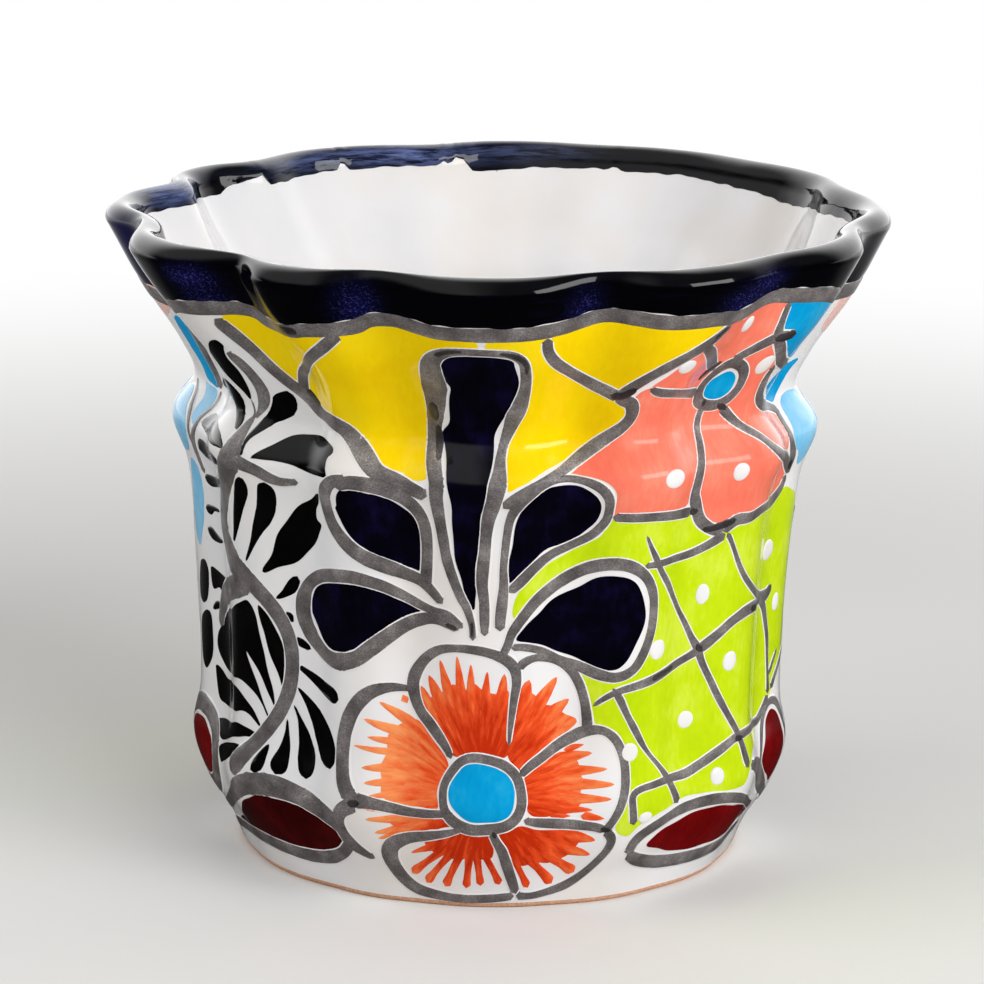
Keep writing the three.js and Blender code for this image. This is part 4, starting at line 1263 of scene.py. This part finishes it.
    "greyWash": [(60.5, 35, 3), (64, 33.5, 6), (68, 30.5, 8), (72, 25.5, 7), (77, 20, 5)],
    "plantStem": [
        (-50.5, 145, 0.8), (-50, 141, 0.8), (-51, 137.5, 3), (-51.5, 133, 4.8), (-52, 129, 6),
        (-54.5, 124, 6), (-57.5, 118.5, 5.5), (-61, 112.5, 7), (-63.5, 106.5, 9), (-63.5, 101, 10),
        (-60, 97, 8), (-56.5, 93.5, 6), (-54, 92.5, 5), (-50, 89.5, 4.5), (-46.5, 85.5, 4),
        (-43.8, 80, 3.6), (-42.5, 74, 3.4), (-42.3, 67, 3.4), (-43.2, 60, 3.4), (-45.3, 53, 3.4),
        (-48.5, 46.5, 3.6), (-52, 41, 4), (-56, 35.5, 5), (-59, 31.5, 4)],
    "plantTop": [
        (-50.7, 159.5, 3), (-49, 157.5, 4.2), (-47.5, 153.5, 4), (-46.8, 149, 4.2), (-47.5, 145, 3.4),
        (-49, 141.5, 1.6), (-50, 140, 1)],
    "plantBranch": [
        (-51, 128, 4), (-48.5, 127.3, 3.2), (-46, 126.3, 3), (-43.8, 124.7, 2.8), (-41.5, 123.8, 2.2),
        (-39, 124.2, 1.6), (-37.9, 124.2, 1.2)],
    "leafArch": [
        (-72.3, 69.5, 2.6), (-71.5, 73.5, 3.4), (-70, 77.5, 4.5), (-68, 81, 5.5), (-64, 83.8, 5.5),
        (-60, 86, 5.5), (-56, 88.3, 5.5), (-52, 90, 4.5)],
    "hillLeftTop": [
        (-80, 11.5, 2), (-74, 14.5, 2.5), (-68, 18.5, 3), (-62, 22.5, 3.6), (-58, 26, 4.4), (-54, 29, 5),
        (-49.5, 31, 5), (-45, 31.7, 5.6), (-40, 30.5, 5), (-35, 28, 5), (-31, 25.5, 4.5), (-29.5, 22, 3)],
    "hillLeftLow": [
        (-80, 6.5, 2), (-73, 8, 2.4), (-66, 9, 2.6), (-58, 10.3, 3.4), (-50, 10, 3.4), (-42, 9.6, 3.4),
        (-36, 10.8, 3.4), (-31.5, 13.8, 3), (-29, 17, 3), (-28, 19.5, 3)],
    "sideBar1": [(-75, 163, 2.5), (-74, 158, 4), (-73.5, 151, 4.6), (-73, 146, 4.2), (-71.6, 141.3, 3.2)],
    "sideBar2": [
        (-71.5, 140.5, 1.2), (-71, 136.5, 1.2), (-72.3, 133, 1.4), (-73, 130, 1.6), (-74.8, 124, 2.2),
        (-75, 119, 2.2), (-74.4, 115.3, 1.6)],
    "sideBar3": [(-82.5, 141, 0.9), (-79, 135.5, 1.1), (-76.2, 131, 1.2), (-75.5, 124, 1)],
}

greyRings = {
    "flowerRing": [
        (-6.9, 44.5, 2.6), (-5.2, 47.5, 2.6), (-3, 48.8, 2.8), (0, 48.3, 2.8), (3, 46.7, 3),
        (5.2, 43.5, 3), (6.1, 39.5, 3), (6.2, 35, 3.2), (5.2, 31.3, 3.4), (3.2, 28.9, 3.6),
        (0, 27.9, 3.8), (-3.2, 27.7, 3.8), (-6, 29.5, 3.8), (-7.9, 32.6, 3), (-8.5, 36.5, 2.4),
        (-8.3, 40.5, 2.4)],
    "coralRing": [
        (41.8, 153, 3.4), (43.3, 157.3, 3.2), (45.3, 159.8, 4), (47.5, 158.5, 3.4), (48.9, 155.5, 3),
        (49.2, 151.5, 3), (48.2, 148, 3.6), (46.3, 146.3, 4), (43.8, 146.8, 4), (42, 149, 4)],
    "budRight": [
        (69.5, 32.5, 3), (72, 38.5, 2.6), (74.5, 44, 2.6), (77.3, 47.3, 3), (80.5, 46, 3.4),
        (83.5, 40, 3.6), (85.5, 32, 4), (86, 24, 4), (82, 17, 4), (78, 19.5, 4), (73, 24, 5),
        (69.5, 29, 4)],
    "budLeft": [
        (-70.8, 33, 4), (-72, 26, 4), (-76, 20, 4), (-82, 18, 4), (-88, 22, 4), (-91, 30, 4),
        (-89, 38, 4), (-83, 42.5, 4), (-77, 42, 4), (-72.5, 38.5, 4)],
}

blackStrokes = {
    "collarDash": [(-69.5, 152.3, 1), (-67.5, 153, 4.5), (-65, 154, 4), (-62, 154.5, 1.5)],
    "hook": [
        (-70.5, 143.7, 2.2), (-67, 144.3, 4), (-62, 145.5, 5), (-58, 146, 5.8), (-55.5, 143.8, 6),
        (-54.3, 140, 4.5), (-53.1, 136, 2)],
    "bar1": [
        (-71, 132, 1.5), (-68, 133, 5), (-64, 132.7, 5.5), (-60, 132.3, 5), (-57, 131.8, 3.5),
        (-54.3, 130.5, 1)],
    "bar2": [
        (-73, 123, 2), (-71, 124, 5.5), (-67, 124, 5.5), (-63, 124.8, 4.5), (-60, 125.2, 3.5),
        (-56, 125, 1.5)],
    "bar3": [
        (-74.5, 114, 2.5), (-72, 113.8, 3.5), (-68, 114.7, 3), (-64, 116, 2.2), (-60, 117.5, 1.5),
        (-57.5, 118.3, 0.8)],
    "bar4": [(-76, 104.3, 2.5), (-74, 104.3, 3), (-72, 105.3, 1.6), (-69, 105.5, 1)],
    "bar5": [(-76, 98, 2.5), (-74, 97, 3.5), (-71, 96.3, 2.2), (-68.5, 96.5, 0.8)],
    "topLeaf": [
        (-49, 130, 0.8), (-49.2, 134.5, 1.5), (-47.8, 138, 2.8), (-45.5, 141.5, 4.2), (-43.5, 144.5, 7),
        (-42.3, 147.5, 5), (-42, 149.5, 2.5)],
    "spear1": [
        (-49.8, 122.5, 2.5), (-51.3, 119.5, 5.5), (-53.3, 114.5, 5), (-54.8, 109.5, 4), (-56, 104.5, 2.2),
        (-56.9, 101.3, 1)],
    "spear2": [
        (-44.8, 122.8, 4.5), (-45.3, 118.5, 6), (-46.5, 113, 6), (-48.5, 108, 4.2), (-50.3, 103, 2.2),
        (-52.8, 96.8, 0.8)],
    "fleck1": [(-45.3, 87.7, 0.8), (-43.5, 89.5, 2.2), (-41.5, 92.5, 3.8), (-40.6, 95.3, 2)],
    "fleck2": [(-44, 83.5, 2), (-42.6, 82.3, 3.4), (-41.8, 81.5, 1.5)],
    "fleck3": [(-41.8, 76.5, 1.6), (-40.3, 75.4, 2.6), (-38.2, 74, 1.6)],
    "drop1": [(-41, 68.3, 1.4), (-38.5, 66.3, 2.4), (-35, 63.7, 4), (-32, 62.5, 4.6), (-30, 61.8, 3)],
    "drop2": [
        (-41.2, 61.8, 0.6), (-39, 58.2, 2.6), (-36.5, 53.5, 5.5), (-34.3, 48.5, 8), (-32.8, 44, 7.5),
        (-31.8, 40.8, 4)],
    "drop3": [
        (-42, 56.3, 0.6), (-40.8, 52.5, 1.4), (-39.6, 47.5, 4), (-38.6, 42, 6), (-38.2, 38, 5.2),
        (-38, 35.8, 3)],
    "drop4": [
        (-43.4, 51.8, 0.5), (-43.4, 47.5, 1.6), (-43.6, 43, 3.6), (-44.2, 39, 5.6), (-44.8, 35.5, 5.4)],
    "drop5": [(-47.2, 43.5, 0.8), (-48.3, 40.5, 3), (-49.5, 37, 4.4), (-51.2, 34.8, 2)],
    "sideFleck": [(-76, 73.5, 1), (-74, 75.3, 2.5), (-71, 76.5, 1)],
}

# The grey lines were drawn with a fuller brush low on the left, and a lighter hand on the right
brushWeight = {
    "low": [(-75, 1.38), (-35, 1.34), (-20, 1.15), (-5, 1), (8, 0.97), (22, 0.86), (75, 0.8)],
    "high": [(-75, 1.1), (-35, 1), (-5, 1.06), (8, 0.95), (22, 0.9), (75, 0.82)],
    "lowBelow": 132,
    "highAbove": 150,
}


def weighted(path, look):
    # a path with its widths as the hand pressed
    along = [np.interp(angle, *zip(*look["low"])) for angle, height, width in path]
    over = [np.interp(angle, *zip(*look["high"])) for angle, height, width in path]
    heights = (look["lowBelow"], look["highAbove"])
    reach = [np.interp(height, heights, (0, 1)) for angle, height, width in path]
    return [(angle, height, width * (a + (b - a) * share))
            for (angle, height, width), a, b, share in zip(path, along, over, reach)]


# Where two grey strokes lie on each other, or the slip pooled, it fires darker
blotWidth = 0.8  # the blots' share of the widths that are written here
slipBlots = [
    [(-11.4, 152, 4), (-11.2, 149, 4.2), (-10.9, 146, 3.2)],
    [(-10.6, 145, 2.4), (-10.3, 140.5, 3.2), (-10, 135.5, 2.4)],
    [(-9.6, 167.9, 2), (-7.5, 169.6, 1.8), (-5, 170.2, 1.2)],
    [(0.6, 170, 1.2), (3.2, 168.8, 2), (4.8, 166.2, 1.8), (5, 163, 1)],
    [(20.6, 154.6, 3), (22.5, 154.3, 3.6), (24.4, 156.8, 2.6)],
    [(35.4, 170.8, 1.8), (37.8, 173.8, 2)],
    [(50.6, 167, 3.2), (53, 167, 4), (55, 167.4, 2.6)],
    [(39.6, 155.6, 1.8), (41, 158.2, 2.2), (43, 160.8, 1.6)],
    [(43.8, 148.6, 1.4), (43.9, 146.2, 1.8)],
    [(46.8, 146.8, 2.4), (48.6, 144.4, 2.2)],
    [(43.8, 110.6, 2.4), (46.5, 110.6, 3), (50.8, 112.3, 2.6)],
    [(39.8, 117, 2.8), (42.2, 116.3, 3.4)],
    [(74.6, 122.4, 3), (75.4, 119, 3)],
    [(44.6, 75.8, 2.6), (46, 73.4, 2.8)],
    [(32, 69.1, 2.2), (35.5, 70, 2.6), (38.5, 70.8, 1.8)],
    [(59, 82.9, 3), (64, 82.4, 3.6), (69, 82, 3.4)],
    [(55, 44.9, 2.6), (57.8, 44.6, 2.4)],
    [(-27, 32.2, 3.4), (-24.4, 33, 3.2)],
    [(21.8, 26.4, 2.6), (23.8, 25.4, 2.4)],
    [(-8.6, 87.7, 2), (-6.2, 86.5, 1.6)],
    [(1, 27.4, 1.8), (1.5, 24.8, 1.6)],
    [(-3.4, 84.5, 1.2), (-3.5, 89, 1.2)],
    [(-37.6, 151, 2.6), (-36.3, 148.2, 3), (-35.2, 146, 2.4)],
    [(-36, 171.4, 3.4), (-33.5, 171.8, 3.6), (-31, 172.6, 3)],
]

# Orange strokes: where each starts and ends, and its width
petalStrokes = [
    (-12, 61, -13.6, 68, 3), (-9, 62, -12, 71.5, 3), (-7, 62, -9.7, 76.5, 2.6), (-5, 62, -6.3, 78.3, 2.2),
    (-3.5, 62, -3.6, 76.3, 2), (-1, 62, -0.5, 74.3, 2), (1.8, 60, 2.7, 73.7, 3),
    (5.8, 63, 7.5, 71.5, 4), (6, 60, 5.6, 70, 3), (8, 61, 13.2, 71.3, 3.5), (10, 58, 15.8, 64.5, 3.5),
    (12, 56, 17, 58.8, 3),
    (11, 46, 20.3, 48.6, 3), (12, 43, 23, 44, 2.6), (13, 40, 24.2, 39.6, 2.6), (13, 36, 23.5, 35.4, 2.4),
    (12, 33, 20, 32.3, 2), (12, 31, 16, 30.6, 1.5), (18, 30.5, 22.3, 29.5, 2), (15, 49.5, 18.8, 51, 1.6),
    (15, 24.5, 21.3, 22.3, 3), (13, 21, 21, 17.2, 3), (11, 19, 18.8, 11, 3.4), (7.5, 18.5, 14.3, 7.5, 3.2),
    (5, 18, 9, 6.6, 2.4),
    (-7, 23, -15.5, 17.5, 2), (-8, 20.5, -16.2, 10, 2.6), (-7, 19, -13.2, 7.2, 2.6),
    (-5.3, 18.5, -9, 6.5, 2.8), (-3.5, 18, -4.4, 6.5, 2.6), (-2, 18, -1.3, 7.5, 2.6), (-0.5, 19, 2.8, 8, 2.4),
    (-10, 29.3, -23.4, 28, 2.6), (-11, 27.5, -22, 23.7, 2.6), (-13, 26.5, -21.5, 21.8, 2),
    (-21, 31.5, -23.5, 31.3, 1),
    (-13, 54, -21.3, 62.8, 2.4), (-14, 52, -24.2, 57.5, 2.6), (-15, 50, -23.5, 52.3, 2),
    (-16, 47.5, -26.3, 49.3, 1.6), (-16, 44, -24.5, 43.2, 2.2), (-16, 40, -23.8, 39, 2),
    (-15, 37, -23.5, 35, 1.6), (-16.4, 62.5, -17.2, 64.9, 2.2),
]


# A pulled stroke comes to a point, and one that ends low down gathers in a drop: shares of length and width
strokeShapes = {
    "pointed": [(0, 1.4), (0.35, 1.35), (0.65, 1), (0.88, 0.55), (1, 0.25)],
    "dropped": [(0, 1), (0.35, 0.85), (0.65, 0.85), (0.9, 1.1), (1, 0.8)],
    "dropBelow": 12,
}


def taperedStroke(startAngle, startHeight, endAngle, endHeight, width):
    shape = strokeShapes["dropped" if endHeight < strokeShapes["dropBelow"] else "pointed"]
    return [(startAngle + (endAngle - startAngle) * s, startHeight + (endHeight - startHeight) * s, width * w)
            for s, w in shape]


# How far each kind of stroke lies off the skin, its thickness, the distance between its sections, how
# unevenly the brush pressed, and how much wider than its path it is
brushWork = {
    "margins": {"lift": 0, "thickness": 0.17, "spacing": 1.5, "wobble": 0.12, "spread": 0.6},
    "lines": {"lift": 0, "thickness": 0.26, "spacing": 1.0, "wobble": 0.1},
    "rimLine": {"lift": 0.01, "thickness": 0.26, "spacing": 1.0, "wobble": 0.1},
    "blots": {"lift": 0, "thickness": 0.3, "spacing": 0.7, "wobble": 0.3},
    "black": {"lift": -0.08, "thickness": 0.22, "spacing": 0.8, "wobble": 0.08},
    "petals": {"lift": -0.1, "thickness": 0.22, "spacing": 0.9, "wobble": 0.2},
}


def bothTurns(paths):
    # open paths on the front, and the same ones turned half round
    return [(path, turn, False) for turn in (0, back) for path in paths]


# the line under the rim goes all the way round, and its end laps over its start
rimLinePath = [(angle, height, rimLook["lineWidth"]) for angle, height in rimLook["line"]]
rimLinePath += [(angle + 360, height, width) for angle, height, width in rimLinePath[:2]]
for side, turn in (("Front", 0), ("Back", back)):
    lines = [(weighted(path, brushWeight), turn, False) for path in greyOutlines.values()]
    lines += [(weighted(path, brushWeight), turn, True) for path in greyRings.values()]
    for kind, name, glaze in (("margins", "lineMargins", "white"), ("lines", "greyLines", "line")):
        pieces[name + side] = strokeObject(name + side, glazes[glaze], lines, brushWork[kind])
blots = [[(angle, height, width * blotWidth) for angle, height, width in path] for path in slipBlots]
petals = [taperedStroke(*stroke) for stroke in petalStrokes]
for name, glaze, kind, strokes in (
        ("rimLine", "line", "rimLine", [(rimLinePath, 0, False)]),
        ("slipBlots", "blot", "blots", bothTurns(blots)),
        ("blackStrokes", "black", "black", bothTurns(blackStrokes.values())),
        ("petalStrokes", "orange", "petals", bothTurns(petals))):
    pieces[name] = strokeObject(name, glazes[glaze], strokes, brushWork[kind])
print("brush strokes made")

flowerMiddle = (-1.2, 38.5)  # angle and height of the big flower's middle
# how pale the petals are, in degrees round the flower's middle from its right
petalTones = [(0, 0.1), (25, 0.05), (50, -0.12), (85, -0.2), (120, -0.08), (150, 0.3), (180, 0.36),
              (205, 0.3), (222, -0.15), (260, -0.25), (300, -0.3), (335, -0.25)]


def keepPetalPlace(mesh):
    # how far round the flower's middle and how far out from it each point lies
    values = np.zeros(len(mesh.vertices) * 3, np.float32)
    mesh.attributes["sheet"].data.foreach_get("vector", values)
    sheet = values.reshape(-1, 3)
    period = potShape["sheetRadius"] * pi
    middle = onSheet([flowerMiddle])[0]
    across = (sheet[:, 0] - middle[0] + period / 2) % period - period / 2
    up = sheet[:, 1] - middle[1]
    turn = np.arctan2(up, across)
    tone = ringValue(petalTones, np.degrees(turn))
    keepAttribute(mesh, "petal", np.stack([turn, np.hypot(across, up), tone], -1))


for name in ("orangeBases", "petalStrokes"):
    keepPetalPlace(pieces[name].data)


# White dots: drops of thick white glaze that stand up from the colour
whiteDots = {
    # angle, height, half width and half height of each
    "spots": [
        (32.4, 162.5, 2.8, 2.2), (43.4, 172.7, 1.7, 2.5), (52.3, 158, 2.9, 3), (33, 129.3, 3.7, 2.8),
        (49, 127.3, 2.5, 2.8), (45.2, 90.8, 2.3, 3.1), (33.3, 77.6, 3.2, 3), (52.8, 69, 3, 3),
        (43, 53.5, 2.9, 2.6), (27.5, 48.3, 2.8, 2.8), (49.3, 35.6, 2.5, 2.7), (31, 28.3, 2.4, 1.8),
        (77.8, 77.8, 2, 2.8), (72, 95.5, 4, 3.2)],
    "rise": 0.55,
}


def dotTree():
    tree, given = newTree("glazeDrops", "Drops", (
        ("Spots", "NodeSocketGeometry", None), ("Rise", "NodeSocketFloat", 0.5),
        ("Glaze", "NodeSocketMaterial", None)))
    drop = addNode(tree, "GeometryNodeMeshIcoSphere", {"Radius": 1.0, "Subdivisions": 4})
    wide, tall = (addNode(tree, "GeometryNodeInputNamedAttribute", {"Name": name}, data_type="FLOAT")
                  for name in ("halfWidth", "halfHeight"))
    size = addNode(tree, "ShaderNodeCombineXYZ", {"X": wide, "Y": tall, "Z": given["Rise"]})
    placed = addNode(tree, "GeometryNodeInstanceOnPoints", {
        "Points": given["Spots"], "Instance": drop, "Scale": size})
    return endTree(tree, "Drops", placed, given["Glaze"])


def dotObject(look):
    spots = [(angle + turn, height, wide, tall) for turn in (0, back)
             for angle, height, wide, tall in look["spots"]]
    mesh = bpy.data.meshes.new("whiteDotsPaths")
    mesh.from_pydata([(x, y, 0) for x, y in onSheet([spot[:2] for spot in spots])], [], [])
    for attribute, place in (("halfWidth", 2), ("halfHeight", 3)):
        values = [spot[place] for spot in spots]
        mesh.attributes.new(attribute, "FLOAT", "POINT").data.foreach_set("value", values)
    return runTree("whiteDots", mesh, dotTree(), {"Rise": look["rise"], "Glaze": glazes["white"]})


pieces["whiteDots"] = dotObject(whiteDots)
print("white dots made")


# Every piece rides on the one body, and the CAD parts that they stand in for are hidden
for name, piece in pieces.items():
    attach(piece, "root")
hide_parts("body_wall", "rim_coil")
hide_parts("floor_disc")


# A sheet of pale studio paper: lit round the pot, so that it keeps the shadow, and plain white further off.
# The room in front of the pot is dim, so the glaze there mirrors little light; behind it all is white.
studio = {
    "radius": 4.0,
    "sides": 64,
    "paper": "#ecebe9",
    "fadeFrom": 0.3,  # the lit paper turns to plain white between these distances from the pot
    "fadeTo": 0.9,
    "behindFrom": 0.1,  # what the glaze mirrors brightens from here on backwards
    "dimFloor": 0.015,
    "mirroredFloor": 1.2,
}
room = {
    "strength": 0.31,  # the light that the room gives
    "dim": 0.02,  # the rest is only mirrored: the front, the ceiling and what is behind the pot
    "leftCeiling": 0.5,
    "rightCeiling": 0.1,
    "behind": 2.2,
    # where right begins and is whole, and the same for behind and above, as parts of a direction
    "ranges": [(-0.3, 0.1), (0.15, 0.8), (0.05, 0.4)],
}


def rayKinds(tree):
    # 1 where the camera looks straight at it, and 1 where it is mirrored or seen through glass
    seen = addNode(tree, "ShaderNodeLightPath").outputs
    mirrored = addNode(tree, "ShaderNodeMath", {
        0: seen["Is Glossy Ray"], 1: seen["Is Transmission Ray"]}, operation="MAXIMUM")
    return seen["Is Camera Ray"], mirrored


def paperFloor(look):
    turns = [step * 2 * pi / look["sides"] for step in range(look["sides"])]
    corners = [(look["radius"] * cos(turn), look["radius"] * sin(turn), 0) for turn in turns]
    mesh = bpy.data.meshes.new("paperFloor")
    mesh.from_pydata(corners, [], [list(range(look["sides"]))])
    material, tree = newMaterial("studioPaper")
    straight, mirrored = rayKinds(tree)
    place = addNode(tree, "ShaderNodeTexCoord").outputs["Object"]
    parts = addNode(tree, "ShaderNodeSeparateXYZ", {"Vector": place}).outputs
    away = addNode(tree, "ShaderNodeVectorMath", {0: place}, operation="LENGTH").outputs["Value"]
    far, behind = (addNode(tree, "ShaderNodeMapRange", {
        "Value": value, "From Min": start, "From Max": look["fadeTo"]}, interpolation_type="SMOOTHSTEP")
        for value, start in ((away, look["fadeFrom"]), (parts["Y"], look["behindFrom"])))
    direct = addNode(tree, "ShaderNodeMath", {0: straight, 1: far}, operation="MULTIPLY")
    share = addNode(tree, "ShaderNodeMath", {0: direct, 1: mirrored}, operation="MAXIMUM")
    depth = addNode(tree, "ShaderNodeMath", {0: straight, 1: behind}, operation="MAXIMUM")
    # behind the pot the paper is white to the camera, and brighter than that where the glaze mirrors it
    most = addNode(tree, "ShaderNodeMapRange", {
        "Value": straight, "To Min": look["mirroredFloor"], "To Max": 1.0})
    strength = addNode(tree, "ShaderNodeMapRange", {
        "Value": depth, "To Min": look["dimFloor"], "To Max": most})
    paper = addNode(tree, "ShaderNodeBsdfDiffuse", {"Color": toLinear(look["paper"])})
    glow = addNode(tree, "ShaderNodeEmission", {"Color": (1, 1, 1, 1), "Strength": strength})
    mix = addNode(tree, "ShaderNodeMixShader", {"Fac": share, 1: paper, 2: glow})
    addNode(tree, "ShaderNodeOutputMaterial", {"Surface": mix})
    mesh.materials.append(material)
    return addObject("paperFloor", mesh)


def setRoom(look):
    world = bpy.data.worlds.new("room")
    scene.world = world
    world.use_nodes = True
    tree = world.node_tree
    background = tree.nodes["Background"]
    straight, mirrored = rayKinds(tree)
    place = addNode(tree, "ShaderNodeTexCoord").outputs["Generated"]
    parts = addNode(tree, "ShaderNodeSeparateXYZ", {"Vector": place}).outputs
    overRight, behind, above = (addNode(tree, "ShaderNodeMapRange", {
        "Value": parts[axis], "From Min": start, "From Max": end}, interpolation_type="SMOOTHSTEP")
        for axis, (start, end) in zip("XYZ", look["ranges"]))
    # the ceiling is bright over the left and dark over the right
    ceiling = addNode(tree, "ShaderNodeMapRange", {
        "Value": overRight, "To Min": look["leftCeiling"], "To Max": look["rightCeiling"]})
    front = addNode(tree, "ShaderNodeMapRange", {"Value": above, "To Min": look["dim"], "To Max": ceiling})
    sides = addNode(tree, "ShaderNodeMapRange", {
        "Value": behind, "To Min": front, "To Max": look["behind"]})
    reflected = addNode(tree, "ShaderNodeMix", {
        "Factor": mirrored, "A": look["strength"], "B": sides}, data_type="FLOAT")
    strength = addNode(tree, "ShaderNodeMath", {0: straight, 1: reflected}, operation="MAXIMUM")
    background.inputs["Color"].default_value = (1, 1, 1, 1)
    tree.links.new(strength.outputs[0], background.inputs["Strength"])


# Lights: a big soft key at the right front, a weaker window at the left, a low strip that the glaze
# mirrors, and a little soft light from overhead
lights = {
    # azimuth from the front towards +X, elevation, distance, width, height, watts, mirrored in the glaze
    "key": (38, 32, 1.8, 1.4, 1.0, 18.5, False),
    "window": (-75, 34, 1.6, 1.0, 1.0, 7.5, False),
    "strip": (60, 20, 1.5, 0.9, 0.45, 5, True),
    "top": (180, 78, 1.6, 1.4, 1.0, 3, False),
}


def addLights(look):
    target = Vector((0, 0, 0.1))
    for name, (azimuth, elevation, distance, width, height, watts, mirrored) in look.items():
        turn, rise = radians(azimuth), radians(elevation)
        away = Vector((sin(turn) * cos(rise), -cos(turn) * cos(rise), sin(rise)))
        lamp = bpy.data.lights.new(name, "AREA")
        lamp.shape = "RECTANGLE"
        lamp.size, lamp.size_y = width, height
        lamp.energy = watts
        thing = bpy.data.objects.new(name, lamp)
        scene.collection.objects.link(thing)
        thing.visible_glossy = mirrored
        thing.location = target + away * distance
        thing.rotation_euler = away.to_track_quat("Z", "Y").to_euler()


paperFloor(studio)
setRoom(room)
addLights(lights)

# The camera: the photograph's view, on a long lens
view = {
    "target": (0, 0, 0.105),
    "distance": 1.5,
    "elevation": 13.75,
    "roll": 0.95,
    "frame": 984,  # pixels
    "focal": 5044.1,  # pixels
    "targetPixel": (493.06, 492.84),
    "sensor": 36,
}


def addCamera(look):
    rise, roll = radians(look["elevation"]), radians(look["roll"])
    away = Vector((0, -cos(rise), sin(rise)))
    level = Vector((1, 0, 0))
    upright = away.cross(level)
    right = level * cos(roll) + upright * sin(roll)
    up = upright * cos(roll) - level * sin(roll)
    lens = bpy.data.cameras.new("camera")
    lens.sensor_width = look["sensor"]
    lens.lens = look["focal"] / look["frame"] * look["sensor"]
    lens.shift_x = (look["frame"] / 2 - look["targetPixel"][0]) / look["frame"]
    lens.shift_y = (look["targetPixel"][1] - look["frame"] / 2) / look["frame"]
    lens.clip_end = 50
    thing = bpy.data.objects.new("camera", lens)
    scene.collection.objects.link(thing)
    place = Matrix((right, up, away)).transposed().to_4x4()
    place.translation = Vector(look["target"]) + away * look["distance"]
    thing.matrix_world = place
    scene.camera = thing


addCamera(view)
scene.view_settings.view_transform = "Standard"
